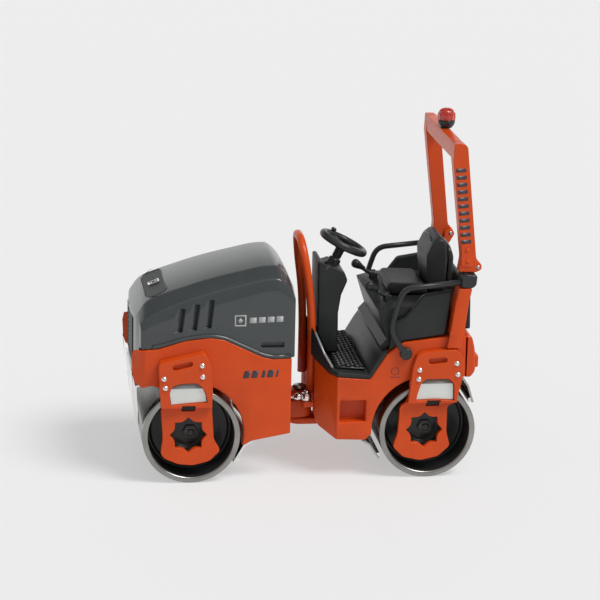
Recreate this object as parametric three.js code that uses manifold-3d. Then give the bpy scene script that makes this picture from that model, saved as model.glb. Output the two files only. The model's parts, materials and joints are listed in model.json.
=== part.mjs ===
// Toy tandem road roller, 1:50, in millimetres.
// +X points forwards (bonnet end), +Y to the operator's left, +Z up; the floor is Z = 0.
// Side outlines are lists of [x, z], measured from the middle of the wheelbase; the finished
// model is shifted along X at the end, so that the middle of its whole length is at X = 0.
import * as THREE from "three";
import { mergeVertices } from "three/addons/utils/BufferGeometryUtils.js";
import { ConvexGeometry } from "three/addons/geometries/ConvexGeometry.js";
import Module from "manifold-3d";

const wasm = await Module();
wasm.setup();

// ---- driving dimensions ----
const drumRadius = 7.2;
const drumHalfWidth = 12;
const drumSides = 48;
const halfWheelbase = 17.5;
const axleHeight = drumRadius * Math.cos(Math.PI / drumSides);
const rimWall = 0.9;
const recessDepth = 3.6;
const axleRadius = 0.7;
const fit = 0.06;
const runningGap = 0.12;
const frontHalfWidth = 11;
const rearHalfWidth = 11.5;
const legInner = 11.1;
const legStep = 12.15;
const legOuter = 12.9;
const frontRear = 2.8;
const hoodHalfWidth = 10.6;
const hoodWall = 0.9;
const archRadius = 7.8;
const oscillationHeight = 7.65;
const cylinderY = 6;
const cylinderZ = 11;
const middleOfLength = 0.65;

// ---- materials ----
const paint = (color, roughness, metalness = 0) =>
  new THREE.MeshStandardMaterial({ color, roughness, metalness });
const materials = {
  orange: () => paint(0xd2521f, 0.35),
  graphite: () => paint(0x5a6062, 0.35, 0.3),
  black: () => paint(0x26282a, 0.55),
  rubber: () => paint(0x1b1c1d, 0.85),
  machined: () => paint(0xb9bcb8, 0.35, 0.9),
  chrome: () => paint(0xd8dadb, 0.15, 1),
  steel: () => paint(0x8c8f92, 0.4, 0.9),
  lampRed: () => paint(0xb5382a, 0.15),
};

// ---- shape helpers ----
function solidOf(geometry) {
  const bare = geometry.clone();
  bare.deleteAttribute("normal");
  bare.deleteAttribute("uv");
  const merged = mergeVertices(bare);
  return new wasm.Manifold(new wasm.Mesh({
    numProp: 3,
    vertProperties: Float32Array.from(merged.attributes.position.array),
    triVerts: Uint32Array.from(merged.index.array),
  }));
}

function geometryOf(solid) {
  const mesh = solid.getMesh();
  const geometry = new THREE.BufferGeometry();
  geometry.setAttribute("position", new THREE.BufferAttribute(new Float32Array(mesh.vertProperties), 3));
  geometry.setIndex(new THREE.BufferAttribute(new Uint32Array(mesh.triVerts), 1));
  geometry.computeVertexNormals();
  return geometry;
}

const join = (...solids) => solids.reduce((whole, piece) => whole.add(piece));
const cut = (solid, ...tools) => tools.reduce((whole, tool) => whole.subtract(tool), solid);

const shapeOf = (outline) => new THREE.Shape(outline.map(([a, b]) => new THREE.Vector2(a, b)));

const extruded = (outline, depth) =>
  new THREE.ExtrudeGeometry(shapeOf(outline), { depth, bevelEnabled: false, steps: 1 });

// Outline in X-Z, thick along Y.
function plate(outline, low, high) {
  return solidOf(extruded(outline, high - low).rotateX(Math.PI / 2).translate(0, high, 0));
}

// Outline in X-Y, thick along Z.
function slab(outline, low, high) {
  return solidOf(extruded(outline, high - low).translate(0, 0, low));
}

function block([x0, x1], [y0, y1], [z0, z1]) {
  const geometry = new THREE.BoxGeometry(x1 - x0, y1 - y0, z1 - z0);
  return solidOf(geometry.translate((x0 + x1) / 2, (y0 + y1) / 2, (z0 + z1) / 2));
}

// Round bar between two points.
function bar(from, to, radius, sides = 16) {
  const start = new THREE.Vector3(...from);
  const run = new THREE.Vector3(...to).sub(start);
  const geometry = new THREE.CylinderGeometry(radius, radius, run.length(), sides);
  const alongY = new THREE.Vector3(0, 1, 0);
  geometry.applyQuaternion(new THREE.Quaternion().setFromUnitVectors(alongY, run.clone().normalize()));
  return solidOf(geometry.translate(...start.addScaledVector(run, 0.5).toArray()));
}

// Ring or disc turned about a line along Y through [x, z]; the profile is a list of [radius, y].
function turnedAcross(profile, [x, z], sides) {
  const points = profile.map(([radius, y]) => new THREE.Vector2(radius, y));
  const geometry = new THREE.LatheGeometry(points, sides, Math.PI / sides);
  return solidOf(geometry.translate(x, 0, z));
}

// Round piece turned about a vertical line through [x, y]; the profile is a list of [radius, z].
function turnedUp(profile, [x, y], sides = 24) {
  const points = profile.map(([radius, z]) => new THREE.Vector2(radius, z));
  return solidOf(new THREE.LatheGeometry(points, sides).rotateX(Math.PI / 2).translate(x, y, 0));
}

// Path of straight runs with a rounded bend at each inner point.
function bentPath(points, bend) {
  const corners = points.map((point) => new THREE.Vector3(...point));
  const path = new THREE.CurvePath();
  let from = corners[0];
  for (let i = 1; i < corners.length - 1; i++) {
    const before = corners[i - 1].clone().sub(corners[i]);
    const after = corners[i + 1].clone().sub(corners[i]);
    const reach = Math.min(bend, before.length() * 0.48, after.length() * 0.48);
    const enter = corners[i].clone().add(before.setLength(reach));
    const leave = corners[i].clone().add(after.setLength(reach));
    path.add(new THREE.LineCurve3(from, enter));
    path.add(new THREE.QuadraticBezierCurve3(enter, corners[i], leave));
    from = leave;
  }
  path.add(new THREE.LineCurve3(from, corners[corners.length - 1]));
  return path;
}

function tube(points, radius, bend, steps, sides = 8) {
  const round = arc([0, 0], radius, 0, 360, sides).slice(0, -1);
  const options = { steps, bevelEnabled: false, extrudePath: bentPath(points, bend) };
  return solidOf(new THREE.ExtrudeGeometry(shapeOf(round), options));
}

// Points of an arc, from one angle to another in degrees, ends included.
function arc([cx, cz], radius, from, to, steps) {
  const points = [];
  for (let i = 0; i <= steps; i++) {
    const angle = THREE.MathUtils.degToRad(from + ((to - from) * i) / steps);
    points.push([cx + radius * Math.cos(angle), cz + radius * Math.sin(angle)]);
  }
  return points;
}

// Span across Y on the left (side 1) or the right (side -1).
const across = (side, inner, outer) => (side > 0 ? [inner, outer] : [-outer, -inner]);

const plateOn = (side, outline, inner, outer) => plate(outline, ...across(side, inner, outer));

const sideName = (side) => (side > 0 ? "left" : "right");

const model = new THREE.Group();
model.position.x = -middleOfLength;

function add(name, solid, material) {
  const mesh = new THREE.Mesh(geometryOf(solid), material());
  mesh.name = name;
  model.add(mesh);
}

// ---- drums ----
const frontAxle = [halfWheelbase, axleHeight];
const rearAxle = [-halfWheelbase, axleHeight];
const rimInner = drumRadius - rimWall;

function drumShell(axle) {
  const chamfer = 0.2;
  return turnedAcross([
    [rimInner, -drumHalfWidth],
    [drumRadius - chamfer, -drumHalfWidth],
    [drumRadius, -drumHalfWidth + chamfer],
    [drumRadius, drumHalfWidth - chamfer],
    [drumRadius - chamfer, drumHalfWidth],
    [rimInner, drumHalfWidth],
    [rimInner, -drumHalfWidth],
  ], axle, drumSides);
}

function drumDisc(side, axle) {
  const outerFace = drumHalfWidth - recessDepth;
  const [low, high] = across(side, outerFace - 1, outerFace);
  const bore = axleRadius + runningGap;
  return turnedAcross([
    [bore, low],
    [rimInner - fit, low],
    [rimInner - fit, high],
    [bore, high],
    [bore, low],
  ], axle, drumSides / 2);
}

function axleShaft([x, z]) {
  const end = legInner - 1.1;
  return bar([x, -end, z], [x, end, z], axleRadius);
}

function addDrum(end, axle) {
  add(`${end}_drum_shell`, drumShell(axle), materials.machined);
  for (const side of [1, -1]) {
    add(`${end}_drum_disc_${sideName(side)}`, drumDisc(side, axle), materials.black);
  }
  add(`${end}_axle`, axleShaft(axle), materials.steel);
}

// ---- drum legs, with their hub cups, window plates and bolts ----
// Each leg hangs outside the rim, then steps in to reach the hub inside the drum's end.
const hubRise = 0.2;
const hubShift = 0.45;
const hubCupRadius = 3;
const starRadius = 2.75;
const stepHeight = 12;

const frontLeg = [
  [22.4, 18.6], [15.7, 20.1], [14.9, 18.6], [14.5, 14.5], [14.6, 12.6], [14.2, 6.6], [13.2, 4.9],
  [14.8, 3.3], [17.2, 2.7], [19.4, 2.9], [21.4, 3.8], [22.0, 4.6], [21.7, 7.0], [22.0, 11.3], [22.3, 16.1],
];
const rearLeg = [
  [-14.9, 17.4], [-15.4, 19.1], [-16.2, 19.5], [-18.8, 19.8], [-21.3, 19.9], [-22.1, 19.1],
  [-22.5, 17.6], [-22.4, 16.0], [-21.8, 13.1], [-21.6, 11.6], [-20.4, 11.0], [-20.4, 7.0],
  [-21.0, 4.8], [-19.3, 3.2], [-16.6, 2.6], [-14.0, 3.2], [-12.4, 4.8], [-13.1, 7.0], [-13.3, 11.1],
  [-14.3, 11.8],
];
const frontWindow = [
  [20.9, 14.2], [20.3, 15.2], [19.3, 15.5], [16.8, 15.6], [16.0, 14.9], [15.5, 13.9], [15.3, 12.6],
  [16.8, 12.5], [18.4, 12.4], [20.6, 12.2],
];
const rearWindow = [
  [-15.5, 12.2], [-15.7, 13.3], [-16.2, 14.9], [-16.9, 15.5], [-20.3, 15.5], [-21.1, 14.7],
  [-21.2, 12.1], [-18.3, 12.3],
];
const frontSlot = [
  [20.5, 17.9], [20.2, 18.3], [17.7, 18.9], [17.4, 18.6], [17.7, 18.1], [20.1, 17.5],
];
const rearSlot = [
  [-17.1, 18.3], [-17.3, 18.6], [-19.6, 18.8], [-20.0, 18.5], [-19.8, 18.0], [-17.4, 17.7],
];
const frontBolts = [[16.1, 18.2], [16.0, 16.5], [21.6, 16.3], [21.4, 14.9]];
const rearBolts = [[-15.9, 16.9], [-15.8, 15.9], [-21.4, 17.8], [-21.6, 16.1]];

// Eight-pointed star with hollow sides.
function star([x, z], reach, waist) {
  const points = [];
  for (let i = 0; i < 16; i++) {
    const angle = (i * Math.PI) / 8;
    const radius = i % 2 === 0 ? reach : waist;
    points.push([x + radius * Math.cos(angle), z + radius * Math.sin(angle)]);
  }
  return points;
}

// Bolt heads cast on the leg's outer face.
function boltHeads(side, places) {
  const radius = 0.42;
  const [low, high] = across(side, legOuter - 0.2, legOuter + 0.3);
  return places.map(([x, z]) => bar([x, low, z], [x, high, z], radius, 8));
}

function leg(side, outline, window, slot, bolts, [x, z], frameSide) {
  const clear = rimInner - 0.2;
  const ring = arc([x, z], drumRadius + 0.35, 0, 360, 32).slice(0, -1);
  const well = arc([x, z], clear, 0, 360, 32).slice(0, -1);
  const rimSpace = cut(
    plate(ring, ...across(side, legInner - 1, legStep)),
    plate(well, ...across(side, legInner - 1, legStep)),
  );
  const lowerFace = legStep - 0.2;
  const below = block([x - 9, x + 9], across(side, lowerFace, legOuter + 1), [0, z + 4.6]);
  const frameSpace = block([x - 9, x + 9], across(side, legInner - 1, frameSide + fit), [z + 5.6, z + 20]);
  return cut(
    join(plateOn(side, outline, legInner, legOuter), ...boltHeads(side, bolts)),
    rimSpace,
    frameSpace,
    below,
    plateOn(side, star([x + hubShift, z + hubRise], starRadius, starRadius * 0.7), legInner - 1, legOuter + 1),
    plateOn(side, window, legStep, legOuter + 1),
    plateOn(side, slot, legOuter - 0.5, legOuter + 1),
  );
}

// Shrinks an outline towards its middle by a fixed share.
function inset(outline, share) {
  const cx = outline.reduce((sum, [x]) => sum + x, 0) / outline.length;
  const cz = outline.reduce((sum, [, z]) => sum + z, 0) / outline.length;
  return outline.map(([x, z]) => [cx + (x - cx) * share, cz + (z - cz) * share]);
}

const windowPlate = (side, window) => plateOn(side, inset(window, 0.975), legStep + 0.05, legStep + 0.4);

function hubCup(side, [x, z]) {
  const back = legInner - 2;
  const front = legInner - fit;
  const axleSocket = axleRadius + fit;
  const [cupX, cupZ] = [x + hubShift, z + hubRise];
  const [low, high] = across(side, back, front);
  const [floorLow, floorHigh] = across(side, back + 0.5, front + 1);
  const [socketLow, socketHigh] = across(side, back - 1, front);
  return cut(
    bar([cupX, low, cupZ], [cupX, high, cupZ], hubCupRadius, 24),
    bar([cupX, floorLow, cupZ], [cupX, floorHigh, cupZ], hubCupRadius - 0.3, 24),
    bar([x, socketLow, z], [x, socketHigh, z], axleSocket),
  );
}

function addLegs(end, outline, window, slot, bolts, axle, frameSide) {
  for (const side of [1, -1]) {
    const cast = leg(side, outline, window, slot, bolts, axle, frameSide);
    add(`${end}_leg_${sideName(side)}`, cast, materials.orange);
    add(`${end}_leg_window_${sideName(side)}`, windowPlate(side, window), materials.machined);
    add(`${end}_hub_cup_${sideName(side)}`, hubCup(side, axle), materials.graphite);
  }
}

// ---- front frame ----
// Seam between the front frame and the bonnet, from back to front.
const seam = [
  [frontRear, 18.5], [5.6, 18.4], [7.2, 18.8], [12.8, 21.5], [14.8, 21.8], [18.5, 21.4], [22.1, 20.3],
  [24.4, 20.0],
];
const sideThickness = 1.2;
const deckHalfWidth = frontHalfWidth - sideThickness - fit;

function frontSidePlate(side) {
  const outline = [
    [frontRear, 7.0], [8.7, 5.9], [9.6, 5.3],
    ...arc(frontAxle, archRadius, 194, 62, 14),
    [23.4, 14.7], [24.7, 14.3], [25.7, 15.1], [26.1, 16.5], [26.3, 18.8], [25.9, 19.9],
    ...[...seam].reverse(),
  ];
  const noseCorner = [
    [frontRear - 1, 0], [27, 0], [27, side * 9.4], [24.2, side * frontHalfWidth],
    [frontRear - 1, side * frontHalfWidth],
  ];
  return plateOn(side, outline, frontHalfWidth - sideThickness, frontHalfWidth)
    .intersect(slab(noseCorner, 0, 30));
}

// Cross members between the two side plates: a rear wall for the steering knuckle, a deck over the
// drum and a front bar that carries the scraper.
function frontDeck() {
  const wall = [4.4, 5.6];
  const deck = plate([
    [wall[0], 14.4], [9.5, 14.4], ...arc(frontAxle, archRadius, 135, 75, 6),
    [23.4, 14.9], [23.4, 16.6], [wall[0], 16.6],
  ], -deckHalfWidth, deckHalfWidth);
  const rearWall = block(wall, [-3.6, 3.6], [5.6, 14.5]);
  const bore = bar([3, 0, oscillationHeight], [7, 0, oscillationHeight], axleRadius + runningGap);
  return cut(join(deck, rearWall), bore);
}

// ---- bonnet ----
const hoodRear = 2.3;

// Heights of the three crease lines and the crown at stations along the bonnet, front to back.
const hoodStations = [
  { x: 25.2, low: 22.0, mid: 23.2, shoulder: 24.6, crown: 24.9, side: 9.9 },
  { x: 24.0, low: 23.4, mid: 24.7, shoulder: 26.3, crown: 26.6, side: 10.5 },
  { x: 21.8, low: 24.2, mid: 25.8, shoulder: 27.3, crown: 27.6, side: hoodHalfWidth },
  { x: 18.9, low: 25.2, mid: 27.0, shoulder: 28.3, crown: 28.6, side: hoodHalfWidth },
  { x: 15.1, low: 26.3, mid: 28.2, shoulder: 29.5, crown: 29.8, side: hoodHalfWidth },
  { x: 10.2, low: 27.6, mid: 29.4, shoulder: 30.7, crown: 31.0, side: hoodHalfWidth },
  { x: 5.4, low: 28.7, mid: 30.3, shoulder: 31.5, crown: 31.8, side: hoodHalfWidth },
  { x: 2.9, low: 27.0, mid: 28.4, shoulder: 29.6, crown: 29.9, side: hoodHalfWidth - 0.2 },
  { x: hoodRear, low: 25.6, mid: 26.8, shoulder: 27.9, crown: 28.2, side: hoodHalfWidth - 0.6 },
];
const shoulderY = 7;
const noseX = 25.8;
const hoodBottom = 15;

// Outer form of the bonnet, drawn in by a wall thickness for its inside.
function hoodForm(wall) {
  const points = [];
  const put = (x, y, z) => points.push(new THREE.Vector3(x, y, z), new THREE.Vector3(x, -y, z));
  const pull = (x) => THREE.MathUtils.clamp(x, hoodRear + wall, 25.2 - wall);
  for (const { x, low, mid, shoulder, crown, side } of hoodStations) {
    put(pull(x), side - wall, low - wall);
    put(pull(x), side - 0.5 - wall, mid - wall);
    put(pull(x), shoulderY - wall, shoulder - wall);
    put(pull(x), 0, crown - wall);
    put(pull(x), side - wall, hoodBottom - wall);
  }
  put(noseX - wall, 5, 24.0 - wall);
  put(noseX - wall, 5, hoodBottom - wall);
  return solidOf(new ConvexGeometry(points));
}

// Vent slits in the bonnet's sides.
function hoodVents() {
  const depth = 0.45;
  const slits = [];
  for (const side of [1, -1]) {
    for (const [x, rise] of [[19.5, 0], [17.4, 0.6], [15.1, 1.2]]) {
      const slit = [
        [x + 0.6, 22.6 + rise * 0.3], [x + 0.5, 25.1 + rise], [x - 0.4, 25.3 + rise],
        [x - 0.6, 22.8 + rise * 0.3],
      ];
      slits.push(plateOn(side, slit, hoodHalfWidth - depth, hoodHalfWidth + 1));
    }
  }
  return join(...slits);
}

// Top face of the nose at the tray, from its rear end to its front end.
const nosePanel = { x: [20.9, 23.9], z: [27.9, 26.7], halfWidth: 6.2 };
const trayDepth = 0.75;

// Shallow tray in the top of the nose, parallel to the top there.
function noseTray() {
  const [rear, front] = nosePanel.x;
  const [rearTop, frontTop] = nosePanel.z;
  const above = 2;
  const outline = [
    [rear, rearTop + above], [front, frontTop + above], [front, frontTop - trayDepth],
    [rear, rearTop - trayDepth],
  ];
  return plate(outline, -nosePanel.halfWidth, nosePanel.halfWidth);
}

function hood() {
  const belowSeam = plate([
    [0, 10], [24.4, 10], ...[...seam].reverse().map(([x, z]) => [x, z + fit]), [0, seam[0][1] + fit],
  ], -20, 20);
  const shell = cut(hoodForm(0), hoodForm(hoodWall), belowSeam, hoodVents());
  const pockets = [noseTray(), grilleRecess()];
  for (const side of [1, -1]) {
    pockets.push(block([24, 28], across(side, frontHalfWidth - sideThickness - 0.4, 14), [10, 20.2]));
  }
  return cut(shell, ...pockets);
}

// Louvred grille let into the bonnet's front face.
const grille = { y: 4.9, z: [16.4, 23.4] };
const grilleRecess = () => block([25.35, 28], [-grille.y, grille.y], grille.z);

function frontGrille() {
  const [bottom, top] = grille.z;
  const halfWidth = grille.y - fit;
  const frame = block([25.35 + fit, noseX - 0.05], [-halfWidth, halfWidth], [bottom + fit, top - fit]);
  const margin = 0.5;
  const pitch = 0.8;
  const slots = [];
  for (let z = bottom + margin; z < top - pitch; z += pitch) {
    slots.push(block([noseX - 0.2, 27], [margin - grille.y, grille.y - margin], [z, z + pitch * 0.45]));
  }
  return cut(frame, ...slots);
}

// Small bar on the tray's floor, along the centre line.
function latchPlate() {
  const [rear, front] = nosePanel.x;
  const [rearTop, frontTop] = nosePanel.z;
  const slope = (frontTop - rearTop) / (front - rear);
  const centre = (rear + front) / 2;
  const floor = (rearTop + frontTop) / 2 - trayDepth + 0.2;
  const halfLength = 0.9;
  const halfWidth = 0.35;
  const height = 0.35;
  const drop = halfLength * slope;
  return plate([
    [centre - halfLength, floor - drop], [centre + halfLength, floor + drop],
    [centre + halfLength, floor + drop + height], [centre - halfLength, floor - drop + height],
  ], -halfWidth, halfWidth);
}

// ---- scrapers ----
// Bent sheet strip: a folded line in side view, thickened to its left.
function scraper(points, halfWidth) {
  const thickness = 0.32;
  const line = points.map(([x, z]) => new THREE.Vector2(x, z));
  const normalOf = (i) => {
    const run = line[i + 1].clone().sub(line[i]).normalize();
    return new THREE.Vector2(-run.y, run.x);
  };
  const far = line.map((point, i) => {
    const before = normalOf(Math.max(i - 1, 0));
    const after = normalOf(Math.min(i, line.length - 2));
    const miter = before.add(after).normalize();
    return point.clone().addScaledVector(miter, thickness / miter.dot(after));
  });
  const outline = [...line, ...far.reverse()].map((point) => point.toArray());
  return plate(outline, -halfWidth, halfWidth);
}

const scrapers = {
  front_scraper_nose: () => scraper([[24.2, 14.25], [25.3, 14.1], [25.25, 12.6], [24.9, 8.4]], 9.6),
  front_scraper_rear: () => scraper([[8.2, 5.6], [9.4, 4.9], [10.9, 2.3]], 10.4),
  rear_scraper_front: () => scraper([[-8.2, 5.5], [-9.3, 4.9], [-10.8, 2.6]], 10.4),
  rear_scraper_tail: () => scraper([[-24.4, 10.9], [-23.6, 13.4], [-22.6, 14.9]], 10.4),
};

// ---- articulation: lugs on the rear frame, a knuckle, and the steering cylinder ----
const lugRadius = 1.9;
const pinRadius = 0.7;
const knuckle = { bottom: 6.3, top: 9.0 };
const lowerLug = [5.2, knuckle.bottom - runningGap];
const pinHeadRadius = 1.2;
const upperLug = [knuckle.top + runningGap, 10.3];

function articulationKnuckle() {
  const { bottom, top } = knuckle;
  const tongue = [[3.0, lugRadius], ...arc([0, 0], lugRadius, 90, 270, 10), [3.0, -lugRadius]];
  const head = block([2.2, 3.9], [-3, 3], [bottom - 0.6, top + 0.6]);
  const pinHole = bar([0, 0, 4], [0, 0, 11], pinRadius + runningGap);
  const crossHole = bar([1.6, 0, oscillationHeight], [5, 0, oscillationHeight], pinRadius + fit);
  return cut(join(slab(tongue, bottom, top), head), pinHole, crossHole);
}

const oscillationPin = () => join(
  bar([1.8, 0, oscillationHeight], [6.2, 0, oscillationHeight], pinRadius),
  bar([5.8, 0, oscillationHeight], [6.6, 0, oscillationHeight], pinHeadRadius, 6),
);

const articulationPin = () => join(
  bar([0, 0, lowerLug[0] - 0.2], [0, 0, upperLug[1] + 0.3], pinRadius),
  bar([0, 0, upperLug[1] + 0.1], [0, 0, upperLug[1] + 0.7], pinHeadRadius, 6),
);

const rodEye = [-0.2, cylinderY, cylinderZ];
const rodRadius = 0.32;
const rodPinRadius = 0.3;
const eyeHalfHeight = 0.55;
const eyeRadius = 0.75;
const barrelRadius = 0.75;

// The rod's eye carries its own pivot pin.
function cylinderRod() {
  const [x, y, z] = rodEye;
  return join(
    bar([x, y, z - 1.4], [x, y, z], rodPinRadius, 8),
    bar([x, y, z - eyeHalfHeight], [x, y, z + eyeHalfHeight], eyeRadius, 12),
    bar([x, y, z], [x + 5.2, y, z], rodRadius, 10),
  );
}

function cylinderBarrel() {
  const [x, y, z] = rodEye;
  const casing = bar([x + 2.9, y, z], [x + 8, y, z], barrelRadius, 12);
  const bore = bar([x + 2, y, z], [x + 7.4, y, z], rodRadius + runningGap, 10);
  return cut(casing, bore);
}

// ---- rear frame ----
const rearPlan = [
  [-1.2, -5.8], [-1.2, -6.9], [-4, -rearHalfWidth], [-26, -rearHalfWidth], [-26, rearHalfWidth],
  [-4, rearHalfWidth], [-1.2, 6.9], [-1.2, 5.8], [-1.9, 4.2], [-1.9, -4.2],
];
const platformEdge = [
  [-0.6, 17.6], [-3.0, 15.7], [-8.8, 15.2], [-11.2, 19.0], [-12.8, 20.2], [-13.7, 20.8],
];

function rearFrame() {
  const outline = [
    [-0.9, 9.4], [-1.8, 7.0], [-3.9, 6.0], [-8.3, 5.8], [-9.0, 6.5],
    ...arc(rearAxle, archRadius + 0.5, -4, 122, 15),
    [-22.4, 15.3], [-23.0, 15.3], [-22.9, 21.6], [-20.0, 21.5], ...[...platformEdge].reverse(),
  ];
  const body = plate(outline, -rearHalfWidth, rearHalfWidth).intersect(slab(rearPlan, 0, 30));
  const pockets = [];
  for (const side of [1, -1]) {
    const pocket = [[-4.4, 8.6], [-4.4, 11.9], [-8.3, 12.0], [-8.3, 8.7]];
    pockets.push(plateOn(side, pocket, rearHalfWidth - 2, rearHalfWidth + 1));
  }
  const lugs = [upperLug, lowerLug].map(([low, high]) => {
    const lug = [[-4, -lugRadius], ...arc([0, 0], lugRadius, -90, 90, 10), [-4, lugRadius]];
    return slab(lug, low, high);
  });
  const pinHole = bar([0, 0, 4], [0, 0, 12], pinRadius + fit);
  const knuckleSpace = block([-3, 0], [-2.2, 2.2], [lowerLug[1], upperLug[0]]);
  const rodBracket = [rodEye[0] - 2.2, rodEye[0] + 0.6];
  const bracket = block(rodBracket, [5.2, 6.8], [cylinderZ - 1.5, cylinderZ - eyeHalfHeight - 0.07]);
  const rodPinHole = bar([rodEye[0], cylinderY, 9], [rodEye[0], cylinderY, 11], rodPinRadius + fit, 8);
  const web = block([-4, -2.3], [-lugRadius, lugRadius], [lowerLug[0], upperLug[0] + 0.4]);
  return cut(join(cut(body, ...pockets), bracket, web, ...lugs), pinHole, knuckleSpace, rodPinHole);
}

function counterweight() {
  const outline = [
    [-23.1, 15.3], [-23.8, 15.2], [-24.5, 16.2], [-24.3, 19.7], [-23.8, 21.5], [-23.0, 21.6],
  ];
  const lugMiddle = 10;
  const lugs = [];
  const eyes = [];
  for (const y of [lugMiddle, -lugMiddle]) {
    lugs.push(block([-25.0, -24.2], [y - 1.2, y + 1.2], [16.6, 18.6]));
    eyes.push(bar([-24.75, y, 16], [-24.75, y, 19], 0.35, 8));
  }
  return cut(join(plate(outline, -rearHalfWidth, rearHalfWidth), ...lugs), ...eyes);
}

// ---- operator's platform ----
function platform() {
  const inner = [[-3.4, 16.4], [-8.5, 15.9], [-9.9, 18.3], [-10.6, 19.3], [-11.3, 19.7]];
  const outline = [
    ...[...platformEdge].slice(0, 4).map(([x, z]) => [x, z + fit]),
    ...[...inner].reverse(),
    [-0.9, 21.6], [-0.6, 21.6],
  ];
  const tray = plate(outline, -rearHalfWidth, rearHalfWidth);
  const legSpace = block([-1.5, 1], [-5.9, 5.9], [10, 30]);
  const plan = rearPlan.map(([x, y]) => [x + (Math.abs(y) < 6 ? 0.6 : 0), y]);
  return cut(tray.intersect(slab(plan, 0, 30)), legSpace);
}

function footMat() {
  const base = [[-4.0, 16.45], [-8.3, 16.1], [-8.3, 16.4], [-4.0, 16.7]];
  const mat = plate(base, -9.5, 9.5);
  const ribs = [];
  for (let x = -4.5; x > -8.2; x -= 0.6) {
    const z = 16.65 + (x + 4) * 0.07;
    ribs.push(block([x - 0.15, x + 0.15], [-9.2, 9.2], [z - 0.2, z + 0.18]));
  }
  return join(mat, ...ribs);
}

function sideWall(side) {
  const outline = [
    [-11.5, 19.5], [-12.8, 20.4], [-13.7, 20.95], [-19.8, 21.8], [-20.6, 28.6], [-16.3, 27.9],
    [-13.8, 24.6], [-11.8, 23.6],
  ];
  return plateOn(side, outline, rearHalfWidth - 1.0, rearHalfWidth - 0.05);
}

const leverY = 6.3;
const leverPivot = [-11.9, 26.35];

// Box under the seat, with a pair of ears on each side for the drive levers.
function seatBase() {
  const outline = [
    [-11.6, 19.9], [-9.9, 25.2], [-12.6, 25.9], [-20.2, 25.9], [-20.2, 21.7], [-13.5, 21.2],
  ];
  const ears = [];
  const earSpan = [leverPivot[0] - 0.5, leverPivot[0] + 0.5];
  for (const side of [1, -1]) {
    for (const reach of [-0.85, 0.85]) {
      const y = side * leverY + reach;
      const [low, high] = reach > 0 ? [y, y + 0.3] : [y - 0.3, y];
      ears.push(block(earSpan, [low, high], [25.4, leverPivot[1] + 0.5]));
    }
  }
  return join(plate(outline, -10.3, 10.3), ...ears);
}

// Low box behind the seat base, stepped up at its rear edge.
function rearCover() {
  const outline = [
    [-20.7, 21.8], [-20.7, 25.6], [-22.8, 26.4], [-23.0, 28.6], [-23.9, 28.6], [-24.1, 21.8],
  ];
  return plate(outline, -8.6, 8.6);
}

// ---- seat ----
const seatHalfWidth = 4.4;

function seatCushion() {
  const outline = [
    [-12.4, 26.1], [-12.0, 27.2], [-12.6, 28.0], [-17.6, 27.7], [-18.2, 27.2], [-18.4, 26.1],
  ];
  return plate(outline, -seatHalfWidth, seatHalfWidth);
}

function seatBack() {
  const outline = [
    [-18.5, 26.2], [-18.1, 29.6], [-18.0, 31.8], [-18.8, 33.9], [-19.8, 34.7], [-20.8, 34.6],
    [-21.6, 33.4], [-21.7, 31.0], [-21.2, 26.2],
  ];
  return plate(outline, -seatHalfWidth, seatHalfWidth);
}

function seatShell() {
  const outline = [
    [-21.4, 27.2], [-21.85, 31.0], [-21.75, 33.4], [-22.2, 33.2], [-22.6, 32.0], [-22.5, 28.0],
    [-22.2, 27.2],
  ];
  return plate(outline, -3.6, 3.6);
}

// ---- steering column and wheel ----
const wheelCentre = [-6.1, 0, 33.0];
const wheelTilt = THREE.MathUtils.degToRad(-26);
const wheelRadius = 3.45;
const wheelRim = 0.42;

function steeringColumn() {
  const outline = [
    [-3.5, 16.95], [-2.0, 20.0], [-1.9, 31.0], [-2.5, 31.0], [-3.1, 29.8], [-4.2, 30.2], [-5.9, 29.3],
    [-6.4, 28.0], [-5.5, 25.8], [-5.1, 23.0], [-5.2, 16.95],
  ];
  const upTheShaft = (reach) => [
    wheelCentre[0] + reach * Math.sin(wheelTilt), 0, wheelCentre[2] + reach * Math.cos(wheelTilt),
  ];
  return join(plate(outline, -3.3, 3.3), bar(upTheShaft(-4.2), upTheShaft(-2.55), 0.95, 16));
}

function steeringWheel() {
  const rim = solidOf(new THREE.TorusGeometry(wheelRadius, wheelRim, 8, 28));
  const spokes = [90, 210, 330].map((degrees) => {
    const angle = THREE.MathUtils.degToRad(degrees);
    const end = [Math.cos(angle) * wheelRadius, Math.sin(angle) * wheelRadius, 0];
    return bar([0, 0, -0.55], end, 0.3, 8);
  });
  const boss = bar([0, 0, -2.45], [0, 0, 0.1], 0.7, 12);
  const wheel = geometryOf(join(rim, boss, ...spokes));
  return solidOf(wheel.rotateY(wheelTilt).translate(...wheelCentre));
}

// ---- drive levers ----
function driveLever(side) {
  const y = side * leverY;
  const [x, z] = leverPivot;
  const tip = [x + 2.5, y, z + 1.55];
  const arm = tube([[x, y, z], [x + 0.8, y, z + 0.35], tip], 0.4, 0.6, 8);
  const knob = solidOf(new THREE.SphereGeometry(0.75, 12, 8).scale(1.2, 1, 1).translate(...tip));
  const barrel = bar([x, y - 0.75, z], [x, y + 0.75, z], 0.45, 12);
  return join(arm, knob, barrel);
}

// ---- hoops and rails ----
function frontHoop() {
  const radius = 0.62;
  const legY = 4.95;
  const half = [
    [-0.75, legY, 12.2], [-0.7, legY, 20], [-0.4, legY, 25], [0.3, legY, 30.5], [0.9, legY * 0.55, 34.6],
  ];
  const otherHalf = [...half].reverse().map(([x, y, z]) => [x, -y, z]);
  return tube([...half, ...otherHalf], radius, 3.2, 44);
}

const railRadius = 0.42;
const railFoot = [-13.9, 19.2];
const foldPivot = [-24.2, 32.0];
const foldPinRadius = 0.3;

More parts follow.
